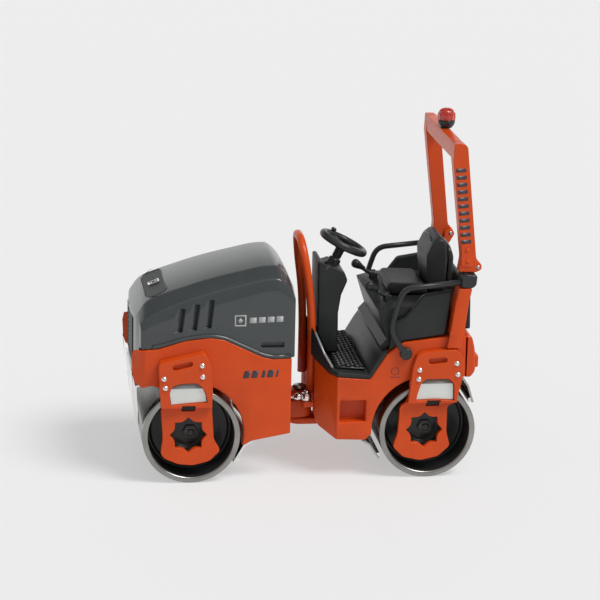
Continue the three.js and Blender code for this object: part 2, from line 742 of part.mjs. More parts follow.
function handrail(side) {
  const y = side * (rearHalfWidth + 0.5);
  const path = [
    [-21.6, y, 29.9], [-13.3, y, 29.1], [-12.2, y, 26.0], [-11.5, y, 22.6], [-13.2, y, 20.0],
    [railFoot[0], y, railFoot[1]],
  ];
  const rail = tube(path, railRadius, 1.5, 30);
  const [low, high] = across(side, rearHalfWidth + fit, rearHalfWidth + 0.9);
  const [x, z] = railFoot;
  const pad = bar([x, low, z], [x, high, z], 0.9, 12);
  return join(rail, pad);
}

// Clamp that ties the handrail to the post, with the ear and pin that the rollover hoop folds on.
function railClamp(side) {
  const outline = [
    [-21.7, 29.2], [-21.7, 30.9], [-22.3, 31.2], [-24.0, 31.0], [-23.9, 29.6], [-23.4, 29.1],
  ];
  const ear = [[-23.2, 30.4], [-23.3, 32.4], [-24.3, 32.7], [-24.9, 32.0], [-24.0, 30.4]];
  const [x, z] = foldPivot;
  const [low, high] = across(side, 8.9, rearHalfWidth + 0.1);
  const pin = bar([x, low, z], [x, high, z], foldPinRadius, 10);
  return join(plateOn(side, outline, 9.3, rearHalfWidth + 1.0), plateOn(side, ear, 8.8, 9.4), pin);
}

// ---- rollover hoop ----
const postInner = 9.5;

// Leaning post that stands on the rear frame, with a foot down the frame's side.
function lowerPost(side) {
  const outline = [
    [-20.2, 21.68], [-22.3, 21.68], [-22.9, 27.1], [-23.3, 29.05], [-21.4, 29.05], [-20.9, 27.1],
  ];
  const foot = [[-19.9, 20.0], [-20.25, 22.3], [-22.3, 22.3], [-22.0, 20.0]];
  return join(
    plateOn(side, outline, postInner, rearHalfWidth + 1.0),
    plateOn(side, foot, rearHalfWidth + fit, rearHalfWidth + 1.0),
  );
}

function ropsHoop() {
  const post = [
    [-21.4, 31.35], [-23.9, 31.25], [-24.8, 31.7], [-24.8, 32.4], [-23.9, 33.2], [-22.0, 49.9],
    [-21.4, 50.4], [-20.0, 50.4], [-19.9, 47.9], [-21.7, 33.4],
  ];
  const crossbar = [[-20.0, 47.9], [-19.9, 50.4], [-21.4, 50.4], [-21.9, 49.9], [-22.1, 48.1]];
  const [x, z] = foldPivot;
  const hole = bar([x, -13, z], [x, 13, z], foldPinRadius + runningGap, 10);
  const posts = [1, -1].map((side) => plateOn(side, post, postInner, rearHalfWidth));
  return cut(join(...posts, plate(crossbar, -postInner - 0.5, postInner + 0.5)), hole);
}

const beacon = [-21.0, 0];

function beaconBase() {
  return turnedUp([[0, 50.46], [1.0, 50.46], [1.25, 51.3], [1.25, 51.6], [0, 51.6]], beacon, 16);
}

function beaconLens() {
  const profile = [[0, 51.66], [1.3, 51.66], [1.32, 52.4], [1.0, 53.3], [0.5, 53.7], [0, 53.8]];
  return turnedUp(profile, beacon, 16);
}

function addFrontHalf() {
  for (const side of [1, -1]) {
    add(`front_side_${sideName(side)}`, frontSidePlate(side), materials.orange);
  }
  add("front_deck", frontDeck(), materials.orange);
  add("hood", hood(), materials.graphite);
  add("hood_grille", frontGrille(), materials.black);
  add("hood_latch", latchPlate(), materials.chrome);
  addLegs("front", frontLeg, frontWindow, frontSlot, frontBolts, frontAxle, frontHalfWidth);
  addDrum("front", frontAxle);
}

function addArticulation() {
  add("articulation_knuckle", articulationKnuckle(), materials.orange);
  add("articulation_pin", articulationPin(), materials.steel);
  add("oscillation_pin", oscillationPin(), materials.steel);
  add("steering_cylinder_rod", cylinderRod(), materials.chrome);
  add("steering_cylinder_barrel", cylinderBarrel(), materials.black);
}

function addRearHalf() {
  add("rear_frame", rearFrame(), materials.orange);
  add("counterweight", counterweight(), materials.orange);
  add("operator_platform", platform(), materials.black);
  add("foot_mat", footMat(), materials.rubber);
  add("seat_base", seatBase(), materials.black);
  add("rear_cover", rearCover(), materials.black);
  add("seat_cushion", seatCushion(), materials.black);
  add("seat_back", seatBack(), materials.black);
  add("seat_shell", seatShell(), materials.black);
  add("steering_column", steeringColumn(), materials.black);
  add("steering_wheel", steeringWheel(), materials.black);
  add("front_hoop", frontHoop(), materials.orange);
  for (const side of [1, -1]) {
    const name = sideName(side);
    add(`side_wall_${name}`, sideWall(side), materials.black);
    add(`drive_lever_${name}`, driveLever(side), materials.black);
    add(`handrail_${name}`, handrail(side), materials.black);
    add(`rail_clamp_${name}`, railClamp(side), materials.black);
    add(`rops_lower_post_${name}`, lowerPost(side), materials.orange);
  }
  addLegs("rear", rearLeg, rearWindow, rearSlot, rearBolts, rearAxle, rearHalfWidth);
  addDrum("rear", rearAxle);
}

function addRollover() {
  add("rops_hoop", ropsHoop(), materials.orange);
  add("beacon_base", beaconBase(), materials.black);
  add("beacon_lens", beaconLens(), materials.lampRed);
}

addFrontHalf();
addArticulation();
addRearHalf();
addRollover();
for (const [name, make] of Object.entries(scrapers)) {
  add(name, make(), materials.chrome);
}

export default model;
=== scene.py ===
"""Looks of a toy tandem road roller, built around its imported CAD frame.

Lengths are in millimetres. X is measured forwards from the middle of the wheelbase, Y to the left of the
centre plane and Z up from the floor; at() turns such a point into the frame's metres.
"""

import json
import math

import bmesh
import bpy
from mathutils import Matrix, Vector

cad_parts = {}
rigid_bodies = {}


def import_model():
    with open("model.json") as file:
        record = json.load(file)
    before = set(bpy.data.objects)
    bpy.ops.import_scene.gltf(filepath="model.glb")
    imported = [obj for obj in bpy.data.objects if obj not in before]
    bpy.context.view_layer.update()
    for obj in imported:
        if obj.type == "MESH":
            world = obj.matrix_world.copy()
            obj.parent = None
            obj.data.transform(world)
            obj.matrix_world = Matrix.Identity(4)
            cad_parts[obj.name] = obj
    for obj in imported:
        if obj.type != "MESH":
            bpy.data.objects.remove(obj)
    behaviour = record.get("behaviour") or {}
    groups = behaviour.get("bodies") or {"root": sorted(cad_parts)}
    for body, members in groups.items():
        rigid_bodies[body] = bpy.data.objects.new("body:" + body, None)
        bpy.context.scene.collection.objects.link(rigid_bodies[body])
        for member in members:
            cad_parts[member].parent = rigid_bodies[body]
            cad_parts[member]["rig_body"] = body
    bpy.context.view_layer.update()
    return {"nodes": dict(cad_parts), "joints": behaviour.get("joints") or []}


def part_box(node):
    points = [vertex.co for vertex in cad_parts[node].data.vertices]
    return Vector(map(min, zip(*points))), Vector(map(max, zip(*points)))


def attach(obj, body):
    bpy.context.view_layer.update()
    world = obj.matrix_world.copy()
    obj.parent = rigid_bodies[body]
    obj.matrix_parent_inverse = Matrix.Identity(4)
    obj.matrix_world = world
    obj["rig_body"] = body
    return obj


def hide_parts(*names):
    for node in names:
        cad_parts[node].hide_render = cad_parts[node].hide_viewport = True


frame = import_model()

# ---- driving dimensions, from the frame ----
MM = 0.001
SIDES = {"left": 1, "right": -1}
joints = {joint["name"]: joint for joint in frame["joints"]}


def joint_point(name):
    return Vector(joints[name]["pos_m"]) / MM


def half_width(node):
    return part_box(node)[1].y / MM


middle = (joint_point("front_drum_spin").x + joint_point("rear_drum_spin").x) / 2
half_wheelbase = joint_point("front_drum_spin").x - middle
axle_height = joint_point("front_drum_spin").z
drum_radius = axle_height
drum_half_width = half_width("front_drum_shell")
rim_wall = 0.9
rim_inner = drum_radius - rim_wall
front_half_width = half_width("front_side_left")
rear_half_width = half_width("rear_frame")
fit = 0.06


def at(x, y, z):
    return Vector(((x + middle) * MM, y * MM, z * MM))


def joint_spot(name):
    """A joint's place in the script's own axes."""
    x, y, z = joint_point(name)
    return x - middle, y, z


def box_of(node):
    """A CAD node's spans along X, Y and Z in the script's own axes."""
    low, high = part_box(node)
    return (low.x / MM - middle, high.x / MM - middle), (low.y / MM, high.y / MM), (low.z / MM, high.z / MM)


# ---- mesh helpers ----
def linked(name, data):
    """A new object in the scene."""
    piece = bpy.data.objects.new(name, data)
    bpy.context.collection.objects.link(piece)
    return piece


def solid(name, points, faces, origin=None):
    """Closed mesh from points in millimetres; with an origin, the points are measured from it."""
    data = bpy.data.meshes.new(name)
    spots = [Vector(point) * MM for point in points] if origin else [at(*point) for point in points]
    data.from_pydata(spots, [], faces)
    mesh = bmesh.new()
    mesh.from_mesh(data)
    bmesh.ops.recalc_face_normals(mesh, faces=mesh.faces)
    mesh.to_mesh(data)
    mesh.free()
    piece = linked(name, data)
    if origin:
        piece.location = at(*origin)
    return piece


def settle(piece):
    """Turns the piece's modifiers into plain mesh."""
    graph = bpy.context.evaluated_depsgraph_get()
    data = bpy.data.meshes.new_from_object(piece.evaluated_get(graph))
    piece.modifiers.clear()
    piece.data = data
    return piece


def merge(*pieces):
    """Joins pieces into the first one's mesh."""
    first = pieces[0]
    bpy.context.view_layer.update()
    mesh = bmesh.new()
    for piece in pieces:
        data = piece.data.copy()
        data.transform(first.matrix_world.inverted() @ piece.matrix_world)
        mesh.from_mesh(data)
        bpy.data.meshes.remove(data)
    mesh.to_mesh(first.data)
    mesh.free()
    for piece in pieces[1:]:
        bpy.data.objects.remove(piece)
    return first


def combine(piece, tools, operation="DIFFERENCE"):
    """Cuts the tools away from the piece, or keeps what it shares with them."""
    for tool in tools:
        modifier = piece.modifiers.new("combine", "BOOLEAN")
        modifier.object = tool
        modifier.operation = operation
        modifier.solver = "EXACT"
        settle(piece)
        bpy.data.objects.remove(tool)
    return piece


def prism(name, outline, low, high, plane="xz"):
    """Straight solid with an outline in one plane, from low to high along the third axis."""
    count = len(outline)
    points = [(a, b, depth) if plane == "xy" else (a, depth, b) for depth in (low, high) for a, b in outline]
    faces = [tuple(range(count)), tuple(range(2 * count - 1, count - 1, -1))]
    for i in range(count):
        following = (i + 1) % count
        faces.append((i, following, following + count, i + count))
    return solid(name, points, faces)


def box(name, spans):
    (x0, x1), (y0, y1), (z0, z1) = spans
    return prism(name, [(x0, z0), (x1, z0), (x1, z1), (x0, z1)], y0, y1)


def rectangle(x0, x1, z0, z1, reach, steps=5, slant=0.0):
    """Rounded rectangle, with its last edge moved along by the slant."""
    return eased([(x0, z0), (x1, z0), (x1 + slant, z1), (x0 + slant, z1)], reach, steps)


def across(side, inner, outer):
    """Low and high Y of a span that runs outwards on one side."""
    return sorted((side * inner, side * outer))


def loft(name, rings):
    """Closed skin through rings of the same number of points, with a flat face on each end."""
    count = len(rings[0])
    points = [point for ring in rings for point in ring]
    faces = [tuple(range(count)), tuple(range(len(points) - 1, len(points) - count - 1, -1))]
    for here in range(0, len(points) - count, count):
        there = here + count
        for j in range(count):
            following = (j + 1) % count
            faces.append((here + j, here + following, there + following, there + j))
    return solid(name, points, faces)


def turned(name, profile, centre, axis=(0, 1, 0), steps=96, flutes=0, flute_depth=0.0):
    """Solid of revolution. The profile is [radius, along]; it closes on itself or ends on the axis."""
    turn = Vector((0, 0, 1)).rotation_difference(Vector(axis)).to_matrix()
    points = []
    rings = []
    for radius, along in profile:
        count = steps if radius > 0 else 1
        rings.append(range(len(points), len(points) + count))
        for i in range(count):
            angle = 2 * math.pi * i / steps
            reach = radius * (1 + flute_depth * math.cos(flutes * angle))
            points.append(turn @ Vector((reach * math.cos(angle), reach * math.sin(angle), along)))
    pairs = list(zip(rings, rings[1:]))
    if profile[0][0] > 0:
        pairs.append((rings[-1], rings[0]))
    faces = []
    for first, second in pairs:
        for i in range(steps):
            corners = [
                first[i % len(first)], first[(i + 1) % len(first)],
                second[(i + 1) % len(second)], second[i % len(second)],
            ]
            faces.append(tuple(dict.fromkeys(corners)))
    return solid(name, points, faces, origin=tuple(centre))


def bar_profile(radius, half, inwards, along):
    """Profile of a plain round bar, with both its edges broken by the same bevel."""
    tip = [(0, half), (radius - inwards, half), (radius, half - along)]
    return [(r, -place) for r, place in tip] + tip[::-1]


def eased(points, reach, steps=5, closed=True):
    """Rounds the corners of a line or outline; reach is one length, or a length for each corner."""
    most_share = 0.45
    spots = [Vector(point) for point in points]
    count = len(spots)
    reaches = reach if isinstance(reach, (list, tuple)) else [reach] * count
    result = []
    for i, corner in enumerate(spots):
        if reaches[i] == 0 or (not closed and i in (0, count - 1)):
            result.append(tuple(corner))
            continue
        before = spots[i - 1] - corner
        after = spots[(i + 1) % count] - corner
        length = min(reaches[i], before.length * most_share, after.length * most_share)
        enter = corner + before.normalized() * length
        leave = corner + after.normalized() * length
        for k in range(steps + 1):
            t = k / steps
            result.append(tuple(enter * (1 - t) ** 2 + corner * 2 * t * (1 - t) + leave * t * t))
    return result


def ring_of(centre, radius, steps):
    """Points of a circle."""
    angles = [2 * math.pi * i / steps for i in range(steps)]
    return [(centre[0] + radius * math.cos(angle), centre[1] + radius * math.sin(angle)) for angle in angles]


def tube(name, points, radius, bend=0.0, widths=None):
    """Round bar along a line with rounded bends; widths scales the radius at each point of a line."""
    path = eased(points, bend, steps=8, closed=False) if bend else [tuple(point) for point in points]
    curve = bpy.data.curves.new(name, "CURVE")
    curve.dimensions = "3D"
    curve.bevel_depth = radius * MM
    curve.bevel_resolution = 6
    curve.use_fill_caps = True
    spline = curve.splines.new("POLY")
    spline.points.add(len(path) - 1)
    for i, (spot, point) in enumerate(zip(spline.points, path)):
        spot.co = (*at(*point), 1)
        spot.radius = widths[i] if widths else 1
    holder = linked(name, curve)
    graph = bpy.context.evaluated_depsgraph_get()
    data = bpy.data.meshes.new_from_object(holder.evaluated_get(graph))
    bpy.data.objects.remove(holder)
    return weld(linked(name, data))


def weld(piece, flat=0.0):
    """Merges doubled points; with an angle, also merges faces that lie flatter than it."""
    same_place = 0.002 * MM
    mesh = bmesh.new()
    mesh.from_mesh(piece.data)
    bmesh.ops.remove_doubles(mesh, verts=mesh.verts, dist=same_place)
    if flat:
        bmesh.ops.dissolve_limit(mesh, angle_limit=math.radians(flat), verts=mesh.verts, edges=mesh.edges)
    bmesh.ops.recalc_face_normals(mesh, faces=mesh.faces)
    mesh.to_mesh(piece.data)
    mesh.free()
    return piece


def soften(piece, width, segments=3, angle=32):
    """Rounds the piece's sharp edges."""
    modifier = piece.modifiers.new("edges", "BEVEL")
    modifier.width = width * MM
    modifier.segments = segments
    modifier.limit_method = "ANGLE"
    modifier.angle_limit = math.radians(angle)
    modifier.harden_normals = True
    modifier.use_clamp_overlap = False
    modifier.miter_outer = "MITER_ARC"
    return piece


def copy_of(node):
    """A new piece with the mesh of a CAD node, its flat faces merged."""
    data = frame["nodes"][node].data.copy()
    data.materials.clear()
    return weld(linked(f"{node}_shape", data), flat=1.0)


def dress(piece, material, body, stands_for=()):
    """Gives a piece its material, its body and the CAD nodes that it stands for."""
    if not piece.data.materials:
        piece.data.materials.append(materials[material])
    for face in piece.data.polygons:
        face.use_smooth = True
    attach(piece, body)
    if stands_for:
        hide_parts(*stands_for)
    return piece


def body_of(node):
    return frame["nodes"][node]["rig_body"]


def softened(node, width, material, segments=3, angle=32):
    """Stands for a CAD node with the same shape and rounded edges."""
    piece = soften(copy_of(node), width, segments, angle)
    return dress(piece, material, body_of(node), [node])


# ---- materials ----
materials = {}


class Nodes:
    """Small helper that adds and links shader nodes."""

    def __init__(self, name):
        self.material = bpy.data.materials.new(name)
        self.material.use_nodes = True
        self.tree = self.material.node_tree
        self.shader = self.tree.nodes["Principled BSDF"]

    def add(self, kind, **values):
        node = self.tree.nodes.new(kind)
        for key, value in values.items():
            setattr(node, key, value)
        return node

    def link(self, source, target):
        self.tree.links.new(source, target)

    def set_values(self, values):
        """Fixed values of the surface's own inputs."""
        for socket, value in values.items():
            self.shader.inputs[socket].default_value = value

    def millimetres(self):
        """The point on the surface, in millimetres from the object's own origin."""
        place = self.add("ShaderNodeTexCoord")
        scaled = self.add("ShaderNodeVectorMath", operation="SCALE")
        scaled.inputs["Scale"].default_value = 1 / MM
        self.link(place.outputs["Object"], scaled.inputs[0])
        return scaled.outputs[0]

    def noise(self, vector, size, detail=3.0):
        """Noise with features about size millimetres across, from 0 to 1."""
        node = self.add("ShaderNodeTexNoise")
        node.inputs["Scale"].default_value = 1 / size
        node.inputs["Detail"].default_value = detail
        self.link(vector, node.inputs["Vector"])
        return node.outputs["Fac"]

    def ranged(self, value, low, high):
        """Spreads the middle of a noise over a range."""
        noise_low, noise_high = 0.3, 0.7
        node = self.add("ShaderNodeMapRange")
        node.inputs["From Min"].default_value = noise_low
        node.inputs["From Max"].default_value = noise_high
        node.inputs["To Min"].default_value = low
        node.inputs["To Max"].default_value = high
        self.link(value, node.inputs["Value"])
        return node.outputs["Result"]

    def mixed(self, share, first, second):
        """Mix of two colours, each a colour or a link."""
        node = self.add("ShaderNodeMix", data_type="RGBA")
        self.link(share, node.inputs["Factor"])
        for socket, colour in (("A", first), ("B", second)):
            target = [i for i in node.inputs if i.name == socket and i.type == "RGBA"][0]
            if isinstance(colour, tuple):
                target.default_value = (*colour, 1)
            else:
                self.link(colour, target)
        return [o for o in node.outputs if o.type == "RGBA"][0]

    def bump(self, height, depth):
        """Bump of that depth in millimetres."""
        node = self.add("ShaderNodeBump")
        node.inputs["Distance"].default_value = depth * MM
        self.link(height, node.inputs["Height"])
        return node.outputs["Normal"]


def shade(colour, factor):
    return tuple(channel * factor for channel in colour)


def surface(name, colour, roughness, metallic=0.0, coat=0.0, specular=0.5, variation=0.1, grain=0.25,
            depth=0.004, streaks=False):
    """Material with cloudy colour, uneven roughness, a fine grain and, on request, lathe lines."""
    cloud_size, unevenness = 3.5, 0.18
    nodes = Nodes(name)
    shader = nodes.shader
    place = nodes.millimetres()
    clouds = nodes.noise(place, cloud_size)
    tone = nodes.mixed(
        nodes.ranged(clouds, 0, 1), shade(colour, 1 - variation), shade(colour, 1 + variation)
    )
    if streaks:
        place = lathe_lines(nodes, place)
    fine = nodes.noise(place, grain, detail=4.0)
    nodes.link(tone, shader.inputs["Base Color"])
    smooth, rough = roughness * (1 - unevenness), roughness * (1 + unevenness)
    nodes.link(nodes.ranged(fine, smooth, rough), shader.inputs["Roughness"])
    nodes.link(nodes.bump(fine, depth), shader.inputs["Normal"])
    nodes.set_values({
        "Metallic": metallic, "Specular IOR Level": specular, "Coat Weight": coat, "Coat Roughness": 0.06,
    })
    materials[name] = nodes.material
    return nodes


def lathe_lines(nodes, place):
    """Coordinates that turn noise into fine rings about the object's own Y axis."""
    flat = nodes.add("ShaderNodeVectorMath", operation="MULTIPLY")
    flat.inputs[1].default_value = (1, 0, 1)
    nodes.link(place, flat.inputs[0])
    radius = nodes.add("ShaderNodeVectorMath", operation="LENGTH")
    nodes.link(flat.outputs[0], radius.inputs[0])
    apart = nodes.add("ShaderNodeSeparateXYZ")
    nodes.link(place, apart.inputs[0])
    together = nodes.add("ShaderNodeCombineXYZ")
    nodes.link(radius.outputs["Value"], together.inputs["X"])
    nodes.link(apart.outputs["Y"], together.inputs["Y"])
    return together.outputs[0]


def make_materials():
    surface("orange_paint", (0.6, 0.064, 0.006), 0.34, coat=0.12, specular=0.22, variation=0.05, grain=0.5,
            depth=0.003)
    surface("hood_graphite", (0.043, 0.05, 0.051), 0.28, coat=0.42, specular=0.38, variation=0.06, grain=0.07,
            depth=0.0012)
    surface("black_plastic", (0.022, 0.024, 0.024), 0.42, specular=0.25, variation=0.15, grain=0.16,
            depth=0.005)
    surface("black_rail", (0.024, 0.026, 0.027), 0.34, coat=0.1, specular=0.3, variation=0.1, grain=0.3,
            depth=0.003)
    surface("mat_rubber", (0.014, 0.015, 0.015), 0.33, specular=0.5, variation=0.2, grain=0.12, depth=0.006)
    surface("drum_metal", (0.3, 0.3, 0.285), 0.28, metallic=1.0, variation=0.12, grain=0.1, depth=0.002,
            streaks=True)
    surface("window_plate", (0.72, 0.75, 0.72), 0.4, metallic=0.5, variation=0.05, grain=0.12, depth=0.002)
    surface("drum_disc", (0.02, 0.023, 0.022), 0.35, coat=0.2, specular=0.3, variation=0.2, grain=0.3,
            depth=0.004, streaks=True)
    # Painted shadow: darker grey for the band across the top of each leg window.
    surface("window_painted_shadow", (0.3, 0.32, 0.31), 0.4, metallic=0.3, variation=0.08, grain=0.12, depth=0.002)
    # Painted highlight: light grey for the platform's toe edges.
    surface("edge_painted_highlight", (0.3, 0.31, 0.31), 0.25, metallic=0.3, variation=0.2, grain=0.2, depth=0.002)
    surface("chrome", (0.8, 0.8, 0.78), 0.1, metallic=1.0, variation=0.03, grain=0.6, depth=0.002)
    surface("pin_steel", (0.42, 0.42, 0.41), 0.25, metallic=1.0, variation=0.08, grain=0.15, depth=0.002)
    surface("light_print", (0.4, 0.42, 0.41), 0.4, variation=0.04, grain=0.1, depth=0.001)
    surface("dark_print", (0.045, 0.035, 0.045), 0.4, variation=0.1, grain=0.1, depth=0.001)
    lens = surface("beacon_lens", (0.6, 0.03, 0.012), 0.12, coat=0.6, variation=0.2, grain=0.5, depth=0.004)
    lens.set_values({"Transmission Weight": 0.25, "IOR": 1.49})


# ---- drums ----
axles = {"front": (half_wheelbase, 0, axle_height), "rear": (-half_wheelbase, 0, axle_height)}


def drum_shell(end):
    """Rolled steel skin with broken edges and a painted inner wall."""
    chamfer, lean = 0.16, 0.3
    half = drum_half_width
    profile = [
        (rim_inner, -half + 0.25), (rim_inner + 0.12, -half + 0.05), (rim_inner + 0.25, -half),
        (drum_radius - chamfer, -half), (drum_radius - chamfer * lean, -half + chamfer * lean),
        (drum_radius, -half + chamfer),
    ]
    bands = 12
    skin = [(drum_radius, -half + chamfer + (half - chamfer) * 2 * i / bands) for i in range(1, bands)]
    mirrored = [(radius, -along) for radius, along in reversed(profile)]
    shell = turned(f"{end}_drum_skin", profile + skin + mirrored, axles[end], steps=160)
    shell.data.materials.append(materials["drum_metal"])
    shell.data.materials.append(materials["drum_disc"])
    painted = rim_inner + 0.03
    for face in shell.data.polygons:
        radius = math.hypot(face.center.x, face.center.z) / MM
        face.material_index = 1 if radius < painted else 0
    soften(shell, 0.05, 2, 40)
    return dress(shell, "drum_metal", f"{end}_drum", [f"{end}_drum_shell"])


def drum_disc(end, side_name):
    """Pressed end disc: a flat dish with a rolled edge and a raised hub."""
    node = f"{end}_drum_disc_{side_name}"
    inner, outer = sorted(abs(y) for y in box_of(node)[1])
    bore = 0.82
    edge = rim_inner - fit
    profile = [
        (bore, inner), (edge, inner), (edge, outer), (edge - 0.35, outer), (edge - 0.6, outer - 0.3),
        (4.4, outer - 0.35), (3.9, outer - 0.15), (2.0, outer - 0.1), (1.8, outer), (bore, outer),
    ]
    disc = turned(f"{end}_dish_{side_name}", profile, axles[end], axis=(0, SIDES[side_name], 0), steps=96)
    soften(disc, 0.08, 2, 25)
    return dress(disc, "drum_disc", f"{end}_drum", [node])


def axle(end):
    profile = bar_profile(0.7, half_width(f"{end}_axle"), 0.08, 0.08)
    shaft = turned(f"{end}_shaft", profile, axles[end], steps=48)
    return dress(shaft, "pin_steel", body_of(f"{end}_axle"), [f"{end}_axle"])


def make_drums():
    for end in axles:
        drum_shell(end)
        axle(end)
        for side_name in SIDES:
            drum_disc(end, side_name)


# ---- drum legs ----
leg_inner = 11.1
leg_step = 12.15
leg_outer = 12.9
leg_clear = leg_outer + 1
lower_face = leg_step - 0.2
step_height = 4.6
hub_rise = 0.2
hub_shift = 0.45
star_reach = 2.75
star_root = 0.77 * star_reach
notch_floor = leg_inner + 0.4

legs = {
    "front": {
        "outline": [
            (22.4, 18.6), (15.7, 20.1), (14.9, 18.6), (14.5, 14.5), (14.6, 12.6), (14.2, 6.6), (13.2, 4.9),
            (14.8, 3.3), (17.2, 2.7), (19.4, 2.9), (21.4, 3.8), (22.0, 4.6), (21.7, 7.0), (22.0, 11.3),
            (22.3, 16.1),
        ],
        "window": [
            (20.9, 14.2), (20.3, 15.2), (19.3, 15.5), (16.8, 15.6), (16.0, 14.9), (15.5, 13.9), (15.3, 12.6),
            (16.8, 12.5), (18.4, 12.4), (20.6, 12.2),
        ],
        "slot": [(20.5, 17.9), (20.2, 18.3), (17.7, 18.9), (17.4, 18.6), (17.7, 18.1), (20.1, 17.5)],
        "bolts": [(16.1, 18.2), (16.0, 16.5), (21.6, 16.3), (21.4, 14.9)],
        "frame": front_half_width,
        "body": "front_half",
    },
    "rear": {
        "outline": [
            (-14.9, 17.4), (-15.4, 19.1), (-16.2, 19.5), (-18.8, 19.8), (-21.3, 19.9), (-22.1, 19.1),
            (-22.5, 17.6), (-22.4, 16.0), (-21.8, 13.1), (-21.6, 11.6), (-20.4, 11.0), (-20.4, 7.0),
            (-21.0, 4.8), (-19.3, 3.2), (-16.6, 2.6), (-14.0, 3.2), (-12.4, 4.8), (-13.1, 7.0), (-13.3, 11.1),
            (-14.3, 11.8),
        ],
        "window": [
            (-15.5, 12.2), (-15.7, 13.3), (-16.2, 14.9), (-16.9, 15.5), (-20.3, 15.5), (-21.1, 14.7),
            (-21.2, 12.1), (-18.3, 12.3),
        ],
        "slot": [(-17.1, 18.3), (-17.3, 18.6), (-19.6, 18.8), (-20.0, 18.5), (-19.8, 18.0), (-17.4, 17.7)],
        "bolts": [(-15.9, 16.9), (-15.8, 15.5), (-21.4, 17.8), (-21.6, 16.1)],
        "frame": rear_half_width,
        "body": "rear_half",
    },
}


def star(x, z):
    """Star with hollow sides between its points."""
    points = 8
    outline = []
    for i in range(points * 2):
        angle = i * math.pi / points
        radius = star_root if i % 2 else star_reach
        outline.append((x + radius * math.cos(angle), z + radius * math.sin(angle)))
    return eased(outline, [0.16, 0.6] * points, steps=4)


def window_outline(points):
    """Window with sharp corners at its foot and round ones above."""
    foot = 12.7
    return eased(points, [0.1 if z < foot else 0.5 for _, z in points], steps=4)


def middle_of(points):
    return [sum(values) / len(points) for values in zip(*points)]


def drum_leg(end, side_name):
    leg = legs[end]
    side = SIDES[side_name]
    x, _, z = axles[end]
    name = f"{end}_leg_{side_name}"
    body = prism(f"{name}_cast", eased(leg["outline"], 0.5, steps=5), *across(side, leg_inner, leg_outer))
    rim = prism("rim", ring_of((x, z), drum_radius + 0.35, 96), *across(side, leg_inner - 1, leg_step))
    hollow = prism("hollow", ring_of((x, z), rim_inner - 0.2, 96), *across(side, leg_inner - 2, leg_step + 1))
    combine(rim, [hollow])
    width = (x - 9, x + 9)
    notch_x = middle_of(leg["window"])[0]
    step = z + step_height
    notch = [(notch_x - 1.0, notch_x + 1.0), across(side, notch_floor, leg_clear), (step - 0.7, step + 0.35)]
    tools = [
        rim,
        box("step", [width, across(side, lower_face, leg_clear), (0, step)]),
        box("frame", [width, across(side, leg_inner - 1, leg["frame"] + fit), (z + 5.6, z + 20)]),
        prism("star", star(x + hub_shift, z + hub_rise), *across(side, leg_inner - 1, leg_clear)),
        prism("window", window_outline(leg["window"]), *across(side, leg_step, leg_clear)),
        prism("slot", eased(leg["slot"], 0.3, steps=4), *across(side, leg_step + 0.05, leg_clear)),
        box("notch", notch),
    ]
    combine(body, tools)
    weld(body, flat=0.5)
    soften(body, 0.11, angle=40)
    return dress(body, "orange_paint", leg["body"], [name])


def bolt_heads(end, side_name):
    """Domed bright heads with a thin washer, on the leg's outer face."""
    leg = legs[end]
    side = SIDES[side_name]
    radius = 0.34
    rise = half_width("front_leg_left") - leg_outer
    profile = [(0, -0.1), (radius + 0.06, -0.1), (radius + 0.06, 0.04), (radius, 0.06)]
    profile += [(radius * math.cos(t), 0.06 + (rise - 0.07) * math.sin(t)) for t in (0.4, 0.8, 1.2)]
    profile.append((0, rise - 0.01))
    heads = [
        turned(f"{end}_bolts_{side_name}", profile, (x, side * leg_outer, z), axis=(0, side, 0), steps=28)
        for x, z in leg["bolts"]
    ]
    return dress(merge(*heads), "chrome", leg["body"])


def window_plate(end, side_name):
    """Bright plate in the leg's window, with a darker grey band of painted shadow across its top, where the
    opening's top edge would shade it.
    """
    leg = legs[end]
    side = SIDES[side_name]
    name = f"{end}_leg_window_{side_name}"
    centre = middle_of(leg["window"])
    shrink = 0.975
    inner = [[c + (value - c) * shrink for c, value in zip(centre, point)] for point in leg["window"]]
    outline = window_outline(inner)
    plate = prism(f"{name}_plate", outline, *across(side, leg_step + 0.03, leg_step + 0.3))
    soften(plate, 0.05, 2, 40)
    dress(plate, "window_plate", leg["body"], [name])
    # Painted shadow: a darker grey sheet over the plate's top, standing in for the shade under the window's
    # top edge.
    band = prism(f"{end}_window_painted_shadow_{side_name}", outline, *across(side, leg_step + 0.1, leg_step + 0.36))
    combine(band, [box("lower_part", [(-30, 30), (-20, 20), (0, 14.7)])])
    dress(band, "window_painted_shadow", leg["body"])


def notch_painted_shade(end, side_name):
    """Black strip in the notch under the window: painted shade in the gap below the window's ledge."""
    leg = legs[end]
    x = middle_of(leg["window"])[0]
    step = axle_height + step_height
    depth = across(SIDES[side_name], notch_floor - 0.2, notch_floor + 0.25)
    strip = box(f"{end}_notch_painted_shade_{side_name}", [(x - 0.95, x + 0.95), depth, (step - 0.65, step + 0.3)])
    dress(soften(strip, 0.05, 2, 40), "black_plastic", leg["body"])


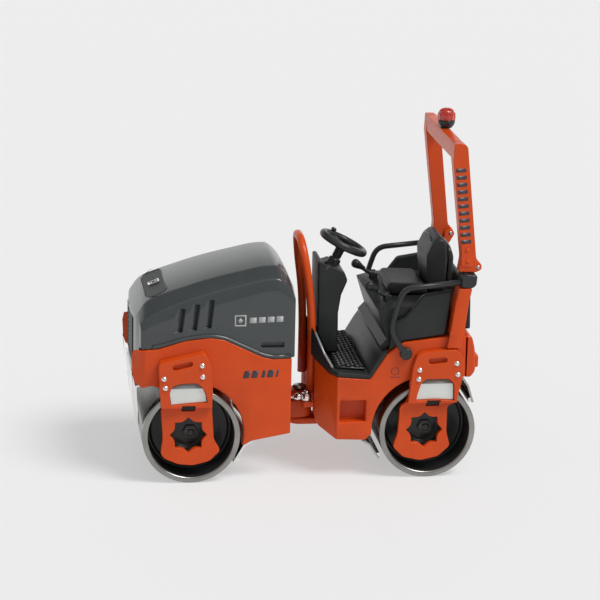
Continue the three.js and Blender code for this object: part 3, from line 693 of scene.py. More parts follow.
def hub_cup(end, side_name):
    """Deep cup behind the star opening, with the axle's end and its nut inside."""
    side = SIDES[side_name]
    x, _, z = axles[end]
    back = leg_inner - 2
    front = leg_inner - fit
    radius = 3.0
    floor = back + 0.5
    profile = [
        (0, back), (radius, back), (radius, front), (radius - 0.3, front), (radius - 0.3, floor + 0.4),
        (radius - 0.7, floor), (0, floor),
    ]
    name = f"{end}_hub_cup_{side_name}"
    cup = turned(f"{name}_shell", profile, (x + hub_shift, 0, z + hub_rise), axis=(0, side, 0), steps=64)
    soften(cup, 0.08, 2, 25)
    dress(cup, "drum_disc", legs[end]["body"], [name])
    across_nut = across(side, floor - 0.1, floor + 0.35)
    nut = prism(f"{end}_hub_nut_{side_name}", ring_of((x, z), 1.15, 6), *across_nut)
    end_face = floor + 0.75
    profile = [(0, floor), (0.6, floor), (0.6, end_face - 0.15), (0.45, end_face), (0, end_face)]
    merge(nut, turned("tip", profile, axles[end], axis=(0, side, 0), steps=32))
    soften(nut, 0.07, 2, 40)
    return dress(nut, "drum_disc", legs[end]["body"])


def make_legs():
    for end in legs:
        for side_name in SIDES:
            drum_leg(end, side_name)
            bolt_heads(end, side_name)
            window_plate(end, side_name)
            notch_painted_shade(end, side_name)
            hub_cup(end, side_name)


# ---- bonnet ----
# Heights of the crease lines at stations along the bonnet: x, low, mid, shoulder, crown.
hood_stations = [
    (2.3, 26.0, 27.2, 28.3, 28.6),
    (3.0, 27.2, 28.7, 29.9, 30.2),
    (4.6, 28.6, 30.2, 31.4, 31.7),
    (5.6, 28.7, 30.3, 31.5, 31.8),
    (10.2, 27.6, 29.4, 30.7, 31.0),
    (15.1, 26.3, 28.2, 29.5, 29.8),
    (18.9, 25.2, 27.0, 28.3, 28.6),
    (21.8, 24.2, 25.8, 27.3, 27.6),
    (24.0, 23.3, 24.6, 26.2, 26.5),
    (25.2, 22.2, 23.4, 24.5, 24.8),
    (26.2, 21.0, 21.9, 22.9, 23.2),
]
seam = [
    (2.2, 18.5), (5.6, 18.4), (7.2, 18.8), (12.8, 21.5), (14.8, 21.8), (18.5, 21.4), (22.1, 20.3),
    (24.4, 20.0),
]
hood_front = 25.8
hood_rear = 2.3
hood_half_width = 10.6
hood_wall = 0.9
hood_floor = 15.0
shoulder_y = 7.0
nose_bulge = 1.0


def slope_at(table, column, row):
    """Slope of a column at one row, level where its values turn back."""
    before, here, after = table[max(row - 1, 0)], table[row], table[min(row + 1, len(table) - 1)]
    if (after[column] - here[column]) * (here[column] - before[column]) <= 0:
        return 0.0
    return (after[column] - before[column]) / (after[0] - before[0])


def along_table(table, x):
    """Smooth values at x of the later columns, from rows that start with x."""
    x = min(max(x, table[0][0]), table[-1][0])
    i = max(k for k in range(len(table) - 1) if table[k][0] <= x or k == 0)
    run = table[i + 1][0] - table[i][0]
    t = (x - table[i][0]) / run
    values = []
    for column in range(1, len(table[0])):
        start, end = table[i][column], table[i + 1][column]
        leaving = slope_at(table, column, i) * t * (1 - t) ** 2
        arriving = slope_at(table, column, i + 1) * t * t * (1 - t)
        level = start * (1 + 2 * t) * (1 - t) ** 2 + end * t * t * (3 - 2 * t)
        values.append(level + run * (leaving - arriving))
    return values


def hood_section(x, inset, floor):
    """Half outline of the bonnet across Y, from the floor on the left up to the crown."""
    low, mid, shoulder, crown = along_table(hood_stations, x)
    side = hood_half_width - inset
    corners = [
        (side, floor), (side, low - inset), (side - 0.5, mid - inset), (shoulder_y - inset, shoulder - inset),
        (0, crown - inset),
    ]
    outline = eased(corners, [0, 0.3, 0.22, 0.28, 0], steps=3, closed=False)
    flank, (_, peak) = outline[:-1], outline[-1]
    y1, z1 = flank[-1]
    for share in (0.75, 0.5, 0.25):
        flank.append((y1 * share, peak - (peak - z1) * share * share))
    return flank + [(0, peak)]


def hood_plan(inset):
    """Outline of the bonnet from above: rounded rear corners and a nose bowed out across the middle."""
    rear, front, half = hood_rear + inset, hood_front - inset, hood_half_width - inset
    shares = [i / 8 for i in range(-7, 8)]
    nose = [(front - nose_bulge * share * share, half * share) for share in shares]
    corners = [(rear, -half), (front - nose_bulge, -half), *nose, (front - nose_bulge, half), (rear, half)]
    reach = [0.6, 0.35, *[0] * len(nose), 0.35, 0.6]
    return eased(corners, reach, steps=5)


def hood_form(name, inset, floor):
    """Closed outer form of the bonnet, drawn in by a wall thickness."""
    start, end = hood_stations[0][0], hood_stations[-1][0]
    count = 56
    rings = []
    for i in range(count + 1):
        x = start + (end - start) * i / count
        half = hood_section(x, inset, floor)
        rings.append([(x, y, z) for y, z in half + [(-y, z) for y, z in reversed(half[:-1])]])
    form = loft(name, rings)
    return combine(form, [prism("plan", hood_plan(inset), floor - 1, 40, plane="xy")], "INTERSECT")


def seam_line(lift):
    """The bonnet's lower edge, moved up by the lift."""
    reach = [0, 0.8, 1.2, 2.4, 2.0, 2.0, 1.2, 0]
    return [(x, z + lift) for x, z in eased(seam, reach, closed=False)]


def vent(side, x, rise):
    """Wedge cut into the bonnet's side: flush at its front edge and deep at its rear edge."""
    face = hood_half_width + 0.02
    depth = 0.85
    rings = []
    for z, lean in ((22.6 + rise * 0.45, 0.25), (26.1 + rise, -0.25)):
        front, rear = x + 0.75 + lean, x - 0.7 + lean
        rings.append([
            (front, side * (face + 0.6), z), (front, side * face, z), (rear, side * (face - depth), z),
            (rear, side * (face + 0.6), z),
        ])
    return loft("vent", rings)


nose_tray = {"x": (20.6, 23.9), "half": 6.35, "angle": math.atan(0.42), "centre": (22.3, 27.25)}


def on_nose(piece):
    """Turns a flat piece made at the nose's height to lie along the sloping nose."""
    x, z = nose_tray["centre"]
    centre = at(x, 0, z)
    turn = Matrix.Rotation(nose_tray["angle"], 4, "Y")
    piece.data.transform(Matrix.Translation(centre) @ turn @ Matrix.Translation(-centre))
    return piece


def nose_plan(margin):
    rear, front = nose_tray["x"]
    half = nose_tray["half"] - margin
    return rectangle(rear + margin, front - margin, -half, half, [3.3, 1.2, 1.2, 3.3], steps=10)


def hood_lip(side):
    """Rounded flange along the bonnet's lower edge."""
    line = [(x, side * (hood_half_width + 0.1), z) for x, z in seam_line(0.3) if x < 24.2]
    line[0] = (2.9, *line[0][1:])
    return tube("hood_lip", line, 0.3)


def make_hood():
    shell = hood_form("hood_shell", 0, 10)
    inside = hood_form("inside", hood_wall, 8)
    below = prism("below", [(0, 5), (24.4, 5)] + list(reversed(seam_line(fit))) + [(0, 18.5 + fit)], -20, 20)
    _, z = nose_tray["centre"]
    frame_edge = 24.0
    clear = 20
    tools = [
        inside, below,
        box("front_bottom", [(frame_edge, 30), (-clear, clear), (0, hood_floor)]),
        on_nose(prism("tray", nose_plan(0), z - 0.12, z + 3, plane="xy")),
        box("grille_space", [(25.2, 28), (-4.9, 4.9), (16.4, 23.4)]),
    ]
    for side in SIDES.values():
        tools.append(box("corner", [(frame_edge, 30), across(side, front_half_width - 1.6, 14), (5, 20.2)]))
        tools.append(prism("handle", eased([(3.9, 20.1), (7.4, 20.1), (7.2, 20.9), (3.9, 20.9)], 0.3),
                           *across(side, 9.85, 12)))
        for place, rise in ((19.3, 0), (17.2, 0.62), (15.1, 1.25)):
            tools.append(vent(side, place, rise))
    combine(shell, tools)
    weld(shell, flat=0.3)
    soften(shell, 0.09, 2, 38)
    dress(shell, "hood_graphite", "front_half", ["hood"])
    for side in SIDES.values():
        dress(hood_lip(side), "hood_graphite", "front_half")
    panel = on_nose(prism("nose_panel", nose_plan(0.06), z - 0.6, z - 0.1, plane="xy"))
    soften(panel, 0.05, 2, 40)
    dress(panel, "black_plastic", "front_half")


def latch_plate(name, inset, reach, low, high):
    """Flat rounded plate on the nose panel, drawn in by the inset."""
    x, z = nose_tray["centre"]
    half = 0.7 - inset
    outline = rectangle(x - 1.0 + inset, x + 0.8 - inset, -half, half, reach)
    return prism(name, outline, z + low, z + high, plane="xy")


def make_latch():
    """Small bright rimmed plate with a dark inset and two studs."""
    x, z = nose_tray["centre"]
    bar = latch_plate("latch_bar", 0, 0.2, -0.11, 0.14)
    combine(bar, [latch_plate("groove", 0.22, 0.15, -0.02, 1)])
    inset = latch_plate("latch_inset", 0.3, 0.15, -0.05, 0.05)
    dress(on_nose(inset), "black_rail", "front_half")
    studs = [
        turned("stud", [(0, 0), (0.14, 0), (0.14, 0.05), (0.07, 0.11), (0, 0.12)], (x + shift, 0, z + 0.08),
               axis=(0, 0, 1), steps=20)
        for shift in (-0.45, 0.25)
    ]
    on_nose(soften(bar, 0.04, 2, 40))
    for stud in studs:
        stud.data.transform(stud.matrix_basis)
        stud.matrix_basis = Matrix.Identity(4)
        on_nose(stud)
    dress(merge(bar, *studs), "chrome", "front_half", ["hood_latch"])


def make_grille():
    """Frame with slanted louvres in the bonnet's front face."""
    _, (_, half), (bottom, top) = box_of("hood_grille")
    face = hood_front - 0.08
    border = 0.35
    back = face - 0.4
    opening = [(20, 30), (border - half, half - border), (bottom + border, top - border)]
    frame_piece = box("grille_frame", [(back, face), (-half, half), (bottom, top)])
    combine(frame_piece, [box("opening", opening)])
    inner = half - 0.3
    backing = box("backing", [(back, back + 0.08), (-inner, inner), (bottom + 0.3, top - 0.3)])
    louvres = []
    count = 9
    pitch = (top - bottom - 2 * border) / count
    for i in range(count):
        z = bottom + border + pitch * (i + 0.5)
        slat = [
            (face - 0.34, z + 0.2), (face - 0.28, z + 0.28), (face - 0.03, z - 0.12), (face - 0.09, z - 0.2),
        ]
        louvres.append(prism("louvre", slat, -inner, inner))
    merge(frame_piece, backing, *louvres)
    soften(frame_piece, 0.03, 2, 40)
    dress(frame_piece, "black_plastic", "front_half", ["hood_grille"])


# ---- plain prints in place of the markings ----
print_thickness = 0.012


def print_depth(side, face, root=0.05):
    """Low and high Y of a print on a side face."""
    return across(side, face - root, face + print_thickness)


def print_block(x0, x1, z0, z1, slant=0.0):
    return rectangle(x0, x1, z0, z1, 0.08, steps=3, slant=slant)


def side_print(name, outlines, side, face, material, body):
    """Thin printed shapes on a side face."""
    shapes = [prism(name, outline, *print_depth(side, face)) for outline in outlines]
    return dress(merge(*shapes), material, body)


def square_mark(side):
    """Plain square ring with a filled diamond."""
    x, z, half, line, reach = 10.4, 24.25, 0.85, 0.2, 0.4
    span = print_depth(side, hood_half_width, root=0.1)
    ring = prism("ring", print_block(x - half, x + half, z - half, z + half), *span)
    hole = half - line
    hollow = prism("hollow", print_block(x - hole, x + hole, z - hole, z + hole), *across(side, 10.4, 10.7))
    combine(ring, [hollow])
    diamond = [(x - reach, z), (x, z - reach), (x + reach, z), (x, z + reach)]
    return merge(ring, prism("diamond", diamond, *span))


def ring_mark(side):
    """Plain thin ring over a short bar."""
    x, z, radius = -12.45, 16.4, 0.6
    span = print_depth(side, rear_half_width)
    ring = prism("ring", ring_of((x, z), radius, 32), *span)
    combine(ring, [prism("hollow", ring_of((x, z), radius - 0.1, 32), *across(side, 11, 12))])
    return merge(ring, box("bar", [(x - 0.7, x + 0.7), span, (z - 0.95, z - 0.86)]))


def make_prints():
    for side_name, side in SIDES.items():
        blocks = []
        for i in range(4):
            x, z = 4.15 + i * 1.3, 24.0 - i * 0.05
            blocks.append(print_block(x, x + 1.0, z, z + 0.85))
        side_print(f"hood_print_{side_name}", blocks, side, hood_half_width, "light_print", "front_half")
        dress(square_mark(side), "light_print", "front_half")
        dress(ring_mark(side), "dark_print", "rear_half")
        low, high, slope, slant = 15.9, 17.0, 0.03, -0.3
        places = [(4.9, 5.2), (5.6, 6.5), (6.8, 7.3), (7.9, 8.8), (9.1, 10.0)]
        blocks = [print_block(x0, x1, low - x0 * slope, high - x0 * slope, slant) for x0, x1 in places]
        side_print(f"frame_print_{side_name}", blocks, side, front_half_width, "dark_print", "front_half")


# ---- frames ----
def make_front_frame():
    for side_name in SIDES:
        softened(f"front_side_{side_name}", 0.16, "orange_paint", angle=28)
    softened("front_deck", 0.08, "orange_paint")
    for end in ("nose", "rear"):
        softened(f"front_scraper_{end}", 0.06, "chrome", segments=2, angle=15)
    rolled_edge("front_scraper_edge_rear", 10.55, 2.75, "front_half")


def rolled_edge(name, x, z, body):
    """Thickened free edge of a scraper."""
    reach = 10.35
    bar = prism(name, rectangle(x - 0.35, x + 0.35, z - 0.3, z + 0.4, 0.2), -reach, reach)
    dress(soften(bar, 0.05, 2, 40), "chrome", body)


def counterweight():
    """Rounded block across the tail with a tow lug at each side."""
    (_, face), _, (bottom, top) = box_of("counterweight")
    rear, front = -24.5, face + 0.15
    outline = [
        (front, bottom + 0.1), (rear + 0.7, bottom), (rear, bottom + 1.0), (rear + 0.2, top - 1.9),
        (rear + 0.7, top - 0.1), (front, top),
    ]
    block = prism("counterweight_block", eased(outline, [0.1, 0.4, 0.5, 0.8, 0.4, 0.1]), -rear_half_width,
                  rear_half_width)
    soften(block, 0.3, 4, 60)
    lugs = []
    for side in SIDES.values():
        y = side * 10
        plan = rectangle(rear - 0.48, rear + 0.5, y - 1.1, y + 1.1, 0.3)
        lug = prism("tow_lug", plan, bottom + 1.4, bottom + 3.3, plane="xy")
        lugs.append(soften(lug, 0.12, angle=40))
    dress(merge(block, *lugs), "orange_paint", "rear_half", ["counterweight"])


def make_rear_frame():
    softened("rear_frame", 0.2, "orange_paint", angle=28)
    counterweight()
    for end, (x, z) in {"front": (-10.45, 3.0), "tail": (-24.15, 11.3)}.items():
        softened(f"rear_scraper_{end}", 0.06, "pin_steel", segments=2, angle=15)
        rolled_edge(f"rear_scraper_edge_{end}", x, z, "rear_half")


def pin(node, material, axis):
    """Turned pin with a chamfered end and a domed head."""
    spans = box_of(node)
    centre = [(low + high) / 2 for low, high in spans]
    halves = Vector([(high - low) / 2 for low, high in spans])
    half = halves.dot(Vector(axis))
    head = min(halves)
    radius = 0.69
    profile = [
        (0, -half), (radius - 0.1, -half), (radius, -half + 0.1), (radius, half - 0.55), (head, half - 0.55),
        (head, half - 0.2), (head - 0.15, half - 0.05), (head - 0.5, half), (0, half),
    ]
    piece = turned(f"{node}_turned", profile, centre, axis=axis, steps=48)
    return dress(piece, material, body_of(node), [node])


def cylinder_rod():
    """Rod with a fork around the eye that it swings on, and the eye's bolt."""
    eye = joint_spot("cylinder_swing")
    rod_profile = [(0, 0), (0.26, 0), (0.26, 5.4), (0.2, 5.5), (0, 5.5)]
    fork_profile = [(0, 0.5), (0.5, 0.6), (0.52, 1.5), (0.4, 1.65), (0.4, 1.9), (0, 1.9)]
    bolt_profile = [(0, -1.4), (0.29, -1.4), (0.29, 0.62), (0.42, 0.62), (0.38, 0.86), (0, 0.9)]
    rod = turned("rod_bar", rod_profile, eye, axis=(1, 0, 0), steps=32)
    boss = turned("rod_boss", bar_profile(0.75, 0.52, 0.09, 0.1), eye, axis=(0, 0, 1), steps=40)
    fork = turned("rod_fork", fork_profile, eye, axis=(1, 0, 0), steps=32)
    bolt = turned("rod_bolt", bolt_profile, eye, axis=(0, 0, 1), steps=24)
    dress(merge(rod, boss, fork, bolt), "chrome", "cylinder_rod", ["steering_cylinder_rod"])


def cylinder_barrel():
    """Barrel with a mouth for the rod, closed at its far end."""
    profile = [
        (0.44, 3.62), (0.62, 3.62), (0.74, 3.72), (0.74, 4.2), (0.68, 4.28), (0.68, 7.1), (0.75, 7.2),
        (0.75, 7.8), (0.6, 8.0), (0, 8.0), (0, 7.4), (0.44, 7.4), (0.44, 3.62),
    ]
    barrel = turned("barrel_tube", profile, joint_spot("cylinder_swing"), axis=(1, 0, 0), steps=48)
    dress(weld(barrel), "black_rail", "cylinder_barrel", ["steering_cylinder_barrel"])


def make_articulation():
    softened("articulation_knuckle", 0.12, "orange_paint")
    pin("articulation_pin", "pin_steel", (0, 0, 1))
    pin("oscillation_pin", "pin_steel", (1, 0, 0))
    cylinder_rod()
    cylinder_barrel()


# ---- operator's platform ----
def pad_grid(xs, ys, height_at, radius, height):
    """Low oval studs on a grid, longer along X, every other row moved by half a step."""
    studs = []
    length_ratio = 1.75
    profile = [(0, 0), (radius, 0), (radius * 0.92, height * 0.6), (radius * 0.55, height), (0, height)]
    for row, x in enumerate(xs):
        for y in ys:
            offset = (ys[1] - ys[0]) / 2 if row % 2 else 0
            stud = turned("stud", profile, (x, y + offset, height_at(x)), axis=(0, 0, 1), steps=12)
            stud.data.transform(Matrix.Diagonal((length_ratio, 1, 1, 1)))
            studs.append(stud)
    return merge(*studs)


def foot_mat():
    (rear, front), (_, half), (bottom, _) = box_of("foot_mat")
    slope, columns, rows = 0.08, 6, 17
    base = [(front, bottom + 0.35), (rear, bottom), (rear, bottom + 0.2), (front, bottom + 0.55)]
    mat = prism("foot_mat_base", eased(base, 0.08, steps=2), -half, half)
    xs = [rear + 0.45 + (front - rear - 0.9) * i / (columns - 1) for i in range(columns)]
    ys = [-half + 0.5 + (2 * half - 1.4) * i / (rows - 1) for i in range(rows)]
    studs = pad_grid(xs, ys, lambda x: bottom + 0.15 + (x - rear) * slope, 0.27, 0.42)
    return dress(merge(mat, studs), "mat_rubber", "rear_half", ["foot_mat"])


def make_platform():
    softened("operator_platform", 0.14, "black_plastic")
    foot_mat()
    (_, front), _, (_, top) = box_of("operator_platform")
    for side_name, side in SIDES.items():
        y = side * (rear_half_width - 0.25)
        line = [(front - 2.6, y - side * 0.3, top - 4.6), (front - 1.4, y - side * 1.4, top - 2.6),
                (front - 0.35, side * 8.0, top - 0.1)]
        # Thin bead on each toe edge, in light grey as a painted highlight along the toe board.
        dress(tube(f"toe_edge_{side_name}", line, 0.16), "edge_painted_highlight", "rear_half")
        softened(f"side_wall_{side_name}", 0.35, "black_plastic", segments=4)
    softened("seat_base", 0.16, "black_plastic")
    sill = prism("seat_sill", [(-10.45, 19.2), (-10.3, 19.9), (-11.7, 21.4), (-12.7, 20.5)], -10.25, 10.25)
    dress(soften(sill, 0.08, 2, 40), "black_plastic", "rear_half")
    softened("rear_cover", 0.3, "black_plastic", segments=4)


# ---- seat ----
def pad(name, outline, half, dish, drop, up):
    """Cushion across Y: its face is dished in the middle and its top falls away towards the sides."""
    cx, cz = middle_of(outline)
    reach = max(math.hypot(x - cx, z - cz) for x, z in outline)
    face = (-up[1], up[0])
    least_size, squareness, shoulder = 0.6, 9, 2.5
    rings = []
    stations = 24
    for i in range(stations + 1):
        t = -1 + 2 * i / stations
        shrink = (1 - abs(t) ** squareness) ** 0.4 * (1 - least_size) + least_size
        ring = []
        for x, z in eased(outline, 0.4, steps=4):
            dx, dz = (x - cx) * shrink, (z - cz) * shrink
            ahead = max(0.0, (dx * face[0] + dz * face[1]) / reach)
            above = max(0.0, (dx * up[0] + dz * up[1]) / reach)
            hollow = dish * ahead * (1 - t * t)
            fall = drop * above * abs(t) ** shoulder
            dx -= face[0] * hollow + up[0] * fall
            dz -= face[1] * hollow + up[1] * fall
            ring.append((cx + dx, half * math.sin(t * math.pi / 2), cz + dz))
        rings.append(ring)
    return loft(name, rings)


def make_seat():
    back = [
        (-18.6, 26.3), (-18.1, 29.6), (-18.0, 31.8), (-18.9, 33.9), (-19.8, 34.7), (-20.6, 34.6),
        (-21.2, 33.4), (-21.3, 31.0), (-21.0, 26.3),
    ]
    rest = pad("seat_back_pad", back, 4.1, 0.8, 0.9, up=(0, 1))
    bolsters = []
    for side in SIDES.values():
        y = side * 3.3
        line = [(-19.3, y, 26.6), (-19.0, y, 29.5), (-19.0, y, 31.6), (-19.9, y * 0.8, 33.4)]
        bolsters.append(tube("bolster", line, 0.8, bend=1.0))
    dress(merge(rest, *bolsters), "black_plastic", "rear_half", ["seat_back"])
    cushion = [(-12.4, 26.1), (-12.0, 27.2), (-12.6, 28.0), (-17.6, 27.8), (-18.2, 27.2), (-18.4, 26.1)]
    seat = pad("seat_cushion_pad", cushion, 4.35, 0.5, 0.2, up=(1, 0))
    dress(seat, "black_plastic", "rear_half", ["seat_cushion"])
    shell = [
        (-21.3, 27.2), (-21.45, 31.0), (-21.3, 33.3), (-21.8, 33.2), (-22.2, 32.0), (-22.1, 28.0),
        (-21.8, 27.2),
    ]
    dress(pad("seat_shell_back", shell, 3.6, 0.0, 1.0, up=(0, 1)), "black_rail", "rear_half", ["seat_shell"])
    piping = [(-18.9, y, 34.25 - abs(y) ** 2.2 * 0.05) for y in (-2.6, -1.3, 0, 1.3, 2.6)]
    dress(tube("seat_piping", piping, 0.09), "black_rail", "rear_half")


# ---- steering ----
def wheel_frame():
    """Centre, axis and the two directions in the steering wheel's plane."""
    name = "steering_wheel_turn"
    axis = Vector(joints[name]["axis"]).normalized()
    sideways = Vector((0, 1, 0))
    return Vector(joint_spot(name)), axis, sideways.cross(axis), sideways


def steering_wheel():
    centre, axis, ahead, sideways = wheel_frame()
    radius, thick, corners = 3.3, 0.57, 20

    def place(forward, left, up):
        return tuple(centre + ahead * forward + sideways * left + axis * up)

    def spoke(angle):
        stops = ((0, -0.55), (1.5, -0.4), (radius, 0))
        line = [place(math.cos(angle) * reach, math.sin(angle) * reach, up) for reach, up in stops]
        return tube("spoke", line, 0.45, widths=[1.3, 1.0, 0.8])

    section = [(radius + thick * across_rim, thick * up) for across_rim, up in ring_of((0, 0), 1, corners)]
    rim = turned("steering_wheel_rim", section, centre, axis=axis, steps=72)
    spokes = [spoke(math.radians(angle)) for angle in (180, 60, -60)]
    hub_profile = [
        (0, -2.45), (0.62, -2.45), (0.7, -2.3), (0.7, -1.2), (0.95, -0.9), (1.0, -0.35), (0.8, -0.1),
        (0.3, 0.02), (0, 0.04),
    ]
    hub = turned("hub", hub_profile, centre, axis=axis, steps=40)
    knob_profile = [(0, 0), (0.3, 0), (0.3, 0.2), (0.42, 0.3), (0.42, 0.5), (0.3, 0.66), (0, 0.7)]
    knob = turned("knob", knob_profile, place(1.5, -2.95, 0.35), axis=axis, steps=28)
    dress(merge(rim, *spokes, hub, knob), "black_rail", "steering_wheel", ["steering_wheel"])


def make_steering():
    softened("steering_column", 0.3, "black_plastic", segments=4)
    centre, axis, _, _ = wheel_frame()
    profile = [
        (0, -4.15), (1.05, -4.15), (1.15, -4.0), (1.15, -3.6), (1.0, -3.5), (1.0, -3.2), (0.85, -3.05),
        (0.85, -2.6), (0, -2.6),
    ]
    collar = turned("column_collar", profile, centre, axis=axis, steps=40)
    dress(collar, "black_rail", "rear_half")
    steering_wheel()
    for side_name in SIDES:
        drive_lever(side_name)


def drive_lever(side_name):
    """Lever with a pear-shaped grip on a thin arm."""
    node = f"drive_lever_{side_name}"
    x, y, z = joint_spot(f"{node}_tilt")
    tip = (x + 2.5, y, z + 1.55)
    arm = tube("lever_arm", [(x, y, z), (x + 0.8, y, z + 0.35), tip], 0.3, bend=0.4)
    profile = [
        (0, -1.25), (0.34, -1.2), (0.42, -0.7), (0.62, -0.1), (0.72, 0.35), (0.6, 0.75), (0.3, 0.95),
        (0, 1.0),
    ]
    grip = turned("grip", profile, tip, axis=Vector((1, 0, 0.62)).normalized(), steps=36)
    barrel = turned("barrel", bar_profile(0.45, 0.74, 0.05, 0.06), (x, y, z), steps=32)
    dress(merge(arm, grip, barrel), "black_rail", body_of(node), [node])


# ---- hoops and rails ----
def make_front_hoop():
    y = 4.95
    half = [(-0.95, y, 11.5), (-0.95, y, 20), (-0.7, y, 25), (0.0, y, 30.2), (0.6, y * 0.55, 34.2)]
    line = half + [(x, -y, z) for x, y, z in reversed(half)]
    hoop = tube("hoop_bar", line, 0.62, bend=3.2)
    dress(hoop, "orange_paint", "rear_half", ["front_hoop"])


rail_foot = (-13.9, 19.2)


def rail_clamp(side_name, side):
    """Rounded black block around the post, with the painted ear and the pin that the hoop folds on."""
    block = [(-21.7, 29.2), (-21.7, 30.9), (-22.3, 31.2), (-24.0, 31.0), (-23.9, 29.6), (-23.4, 29.1)]
    ear = [(-23.2, 30.4), (-23.3, 32.4), (-24.3, 32.7), (-24.9, 32.0), (-24.0, 30.4)]
    body = prism(f"clamp_{side_name}", eased(block, 0.3, steps=4), *across(side, 9.3, rear_half_width + 1.0))
    soften(body, 0.22, 4, 40)
    dress(body, "black_rail", "rear_half", [f"rail_clamp_{side_name}"])
    lug = prism(f"clamp_ear_{side_name}", eased(ear, 0.4, steps=4), *across(side, 8.8, 9.4))
    dress(soften(lug, 0.08, 2, 40), "orange_paint", "rear_half")
    x, _, z = joint_spot("rollover_fold")
    profile = [(0, 8.75), (0.29, 8.75), (0.29, 11.55), (0, 11.55)]
    pin_piece = turned(f"clamp_pin_{side_name}", profile, (x, 0, z), axis=(0, side, 0), steps=24)
    dress(pin_piece, "pin_steel", "rear_half")


def make_handrails():
    for side_name, side in SIDES.items():
        y = side * (rear_half_width + 0.5)
        x, z = rail_foot
        line = [
            (-21.6, y, 29.9), (-13.3, y, 29.1), (-12.2, y, 26.0), (-11.5, y, 22.6), (-13.2, y, 20.0),
            (x, y, z),
        ]
        rail = tube(f"rail_{side_name}", line, 0.42, bend=1.5)
        low, high = rear_half_width + fit, rear_half_width + 0.9
        profile = [(0, low), (0.9, low), (0.9, high - 0.2), (0.82, high - 0.05), (0.7, high), (0, high)]
        foot = turned("foot", profile, (x, 0, z), axis=(0, side, 0), steps=40)
        dress(merge(rail, foot), "black_rail", "rear_half", [f"handrail_{side_name}"])
        rail_clamp(side_name, side)


post_inner = 9.5


def rollover_hoop():
    """Square-section hoop with folding lugs at its feet and a plate for the beacon."""
    post = [
        (-21.4, 31.35), (-23.9, 31.25), (-24.75, 31.65), (-24.75, 32.4), (-23.9, 33.2), (-22.0, 49.9),
        (-21.4, 50.4), (-20.0, 50.4), (-19.9, 47.9), (-21.7, 33.4),
    ]
    rounding = [0.2, 0.2, 0.35, 0.35, 0.5, 0.4, 0.4, 0.2, 0, 0.4]
    crossbar = [(-20.0, 47.9), (-19.95, 50.4), (-21.4, 50.4), (-21.9, 49.9), (-22.1, 48.1)]
    posts = [
        prism("rollover_hoop", eased(post, rounding, steps=3), *across(side, post_inner, rear_half_width))
        for side in SIDES.values()
    ]
    reach = post_inner + 0.5
    bar = prism("crossbar", eased(crossbar, [0.1, 0.2, 0.35, 0.35, 0.1], steps=3), -reach, reach)
    dress(soften(merge(*posts, bar), 0.14, angle=40), "orange_paint", "rollover_hoop", ["rops_hoop"])
    for side_name, side in SIDES.items():
        outline = eased([(-21.75, 32.2), (-23.3, 32.1), (-22.9, 35.4), (-21.6, 35.5)], 0.3)
        depth = across(side, rear_half_width - 0.1, rear_half_width + 0.14)
        plate = prism(f"fold_plate_{side_name}", outline, *depth)
        profile = [(0, 0), (0.34, 0), (0.34, 0.12), (0.2, 0.26), (0, 0.3)]
        y = side * (rear_half_width + 0.1)
        heads = [
            turned("head", profile, (x, y, z), axis=(0, side, 0), steps=6)
            for x, z in ((-22.45, 34.7), (-22.6, 33.0))
        ]
        merge(plate, *heads)
        soften(plate, 0.05, 2, 40)
        dress(plate, "orange_paint", "rollover_hoop")


def post_marks():
    """Row of plain dark dashes up each post."""
    count, pitch, post_lean = 11, 1.06, 0.112
    for side_name, side in SIDES.items():
        dashes = []
        for i in range(count):
            z = 35.6 + i * pitch
            x = -22.5 + (z - 34) * post_lean
            outline = [(x - 0.7, z + 0.05), (x + 0.8, z - 0.05), (x + 0.86, z + 0.53), (x - 0.64, z + 0.63)]
            dashes.append(eased(outline, 0.1, steps=2))
        side_print(f"post_marks_{side_name}", dashes, side, rear_half_width, "dark_print", "rollover_hoop")


def beacon():
    """Black flared socket, and a ribbed lens with a domed cap."""
    (rear, front), _, (bottom, top) = box_of("beacon_base")
    x = (rear + front) / 2
    base = turned("beacon_socket", [
        (0, bottom), (0.85, bottom), (0.9, bottom + 0.12), (1.1, bottom + 0.35), (1.25, bottom + 0.7),
        (1.28, top - 0.08), (1.24, top), (0, top),
    ], (x, 0, 0), axis=(0, 0, 1), steps=64)
    dress(base, "black_rail", "rollover_hoop", ["beacon_base"])
    _, _, (z0, _) = box_of("beacon_lens")
    band = turned("beacon_glass", [
        (0, z0), (1.26, z0), (1.31, z0 + 0.12), (1.31, z0 + 0.75), (1.24, z0 + 1.05), (0, z0 + 1.05),
    ], (x, 0, 0), axis=(0, 0, 1), steps=96, flutes=12, flute_depth=0.035)
    cap = turned("beacon_cap", [
        (0, z0 + 1.0), (1.2, z0 + 1.0), (1.12, z0 + 1.3), (0.9, z0 + 1.55), (0.5, z0 + 1.7), (0, z0 + 1.75),
    ], (x, 0, 0), axis=(0, 0, 1), steps=10)
    merge(band, cap)
    soften(band, 0.03, 2, 30)
    dress(band, "beacon_lens", "rollover_hoop", ["beacon_lens"])


def make_rollover():
    for side_name in SIDES:
        softened(f"rops_lower_post_{side_name}", 0.14, "orange_paint")
    rollover_hoop()
    post_marks()
    beacon()


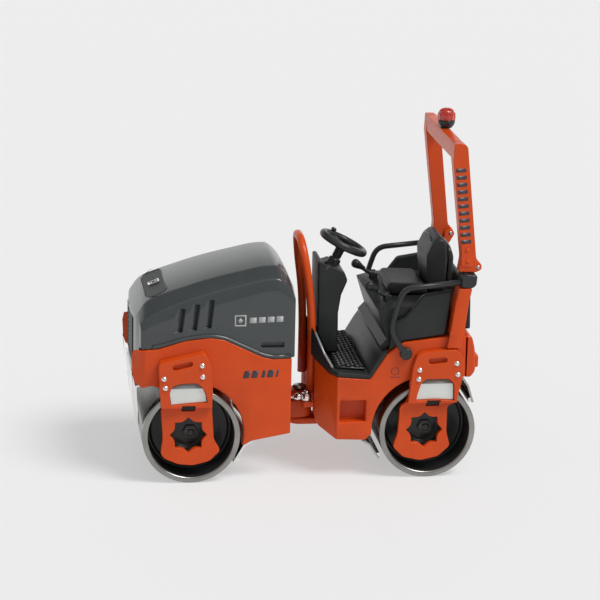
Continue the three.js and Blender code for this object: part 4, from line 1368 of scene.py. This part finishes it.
# ---- camera, floor and light ----
def make_camera():
    """Long lens, from the left and a little ahead of the roller, slightly rolled."""
    azimuth, elevation, roll = (math.radians(angle) for angle in (171.72, 15.8, 1.37))
    distance = 355.86
    back = Vector((
        math.sin(azimuth) * math.cos(elevation), -math.cos(azimuth) * math.cos(elevation), math.sin(elevation)
    ))
    target = Vector((0.23, 0, 24.22))
    right = (-back).cross(Vector((0, 0, 1))).normalized()
    up = right.cross(-back)
    rolled_right = right * math.cos(roll) + up * math.sin(roll)
    rolled_up = up * math.cos(roll) - right * math.sin(roll)
    data = bpy.data.cameras.new("camera")
    data.sensor_width = 36
    data.lens = 142.6
    data.clip_start = 0.01
    data.clip_end = 20
    camera = linked("camera", data)
    spot = at(*(target + back * distance))
    turn = Matrix((rolled_right, rolled_up, back)).transposed().to_4x4()
    camera.matrix_world = Matrix.Translation(spot) @ turn
    bpy.context.scene.camera = camera


floor_grey = 0.4
floor_glow = 0.43


def make_floor():
    size = 4000
    corners = [(-size, -size, 0), (size, -size, 0), (size, size, 0), (-size, size, 0)]
    floor = solid("floor", corners, [(0, 1, 2, 3)])
    nodes = Nodes("floor")
    nodes.set_values({
        "Base Color": (floor_grey, floor_grey, floor_grey, 1), "Roughness": 0.75, "Specular IOR Level": 0.1,
        "Emission Color": (1, 1, 1, 1), "Emission Strength": floor_glow,
    })
    floor.data.materials.append(nodes.material)


def ramp(tree, source, stops):
    """Grey ramp over a value, as (position, brightness) stops."""
    node = tree.nodes.new("ShaderNodeValToRGB")
    elements = node.color_ramp.elements
    while len(elements) < len(stops):
        elements.new(0.5)
    for element, (position, level) in zip(elements, stops):
        element.position = position
        element.color = (level, level, level, 1)
    tree.links.new(source, node.inputs[0])
    return node.outputs[0]


def blend_colours(tree, share, first, second):
    node = tree.nodes.new("ShaderNodeMixRGB")
    tree.links.new(share, node.inputs["Fac"])
    for socket, colour in (("Color1", first), ("Color2", second)):
        if isinstance(colour, tuple):
            node.inputs[socket].default_value = (*colour, 1)
        else:
            tree.links.new(colour, node.inputs[socket])
    return node.outputs[0]


backdrop_level = 0.84


def make_world():
    """Pale studio: a bright backdrop behind the model, a dim ceiling and a darker near side."""
    world = bpy.data.worlds.new("studio")
    bpy.context.scene.world = world
    world.use_nodes = True
    tree = world.node_tree
    place = tree.nodes.new("ShaderNodeTexCoord")
    apart = tree.nodes.new("ShaderNodeSeparateXYZ")
    tree.links.new(place.outputs["Generated"], apart.inputs[0])
    height = apart.outputs["Z"]
    far = ramp(tree, height, [(0, 0.95), (0.3, 0.85), (0.52, 0.22), (0.88, 0.12), (1, 0.7)])
    near = ramp(tree, height, [(0, 0.4), (0.3, 0.35), (0.6, 0.45), (0.85, 0.6), (1, 0.7)])
    facing = tree.nodes.new("ShaderNodeMapRange")
    half_blend = 0.25
    facing.inputs["From Min"].default_value = -half_blend
    facing.inputs["From Max"].default_value = half_blend
    tree.links.new(apart.outputs["Y"], facing.inputs["Value"])
    room = blend_colours(tree, facing.outputs[0], far, near)
    path = tree.nodes.new("ShaderNodeLightPath")
    seen = (backdrop_level,) * 3
    tree.links.new(blend_colours(tree, path.outputs["Is Camera Ray"], room, seen),
                   tree.nodes["Background"].inputs["Color"])


def make_studio():
    make_world()
    make_floor()
    key = bpy.data.lights.new("key", "SUN")
    key.energy = 2.3
    key.angle = math.radians(26)
    lamp = linked("key", key)
    towards_light = Vector((-0.55, 0.42, 1.0))
    lamp.rotation_euler = towards_light.to_track_quat("Z", "Y").to_euler()
    bpy.context.scene.view_settings.view_transform = "Standard"


make_materials()
make_drums()
make_legs()
make_hood()
make_latch()
make_grille()
make_prints()
make_front_frame()
make_rear_frame()
make_articulation()
make_platform()
make_seat()
make_steering()
make_front_hoop()
make_handrails()
make_rollover()
make_camera()
make_studio()
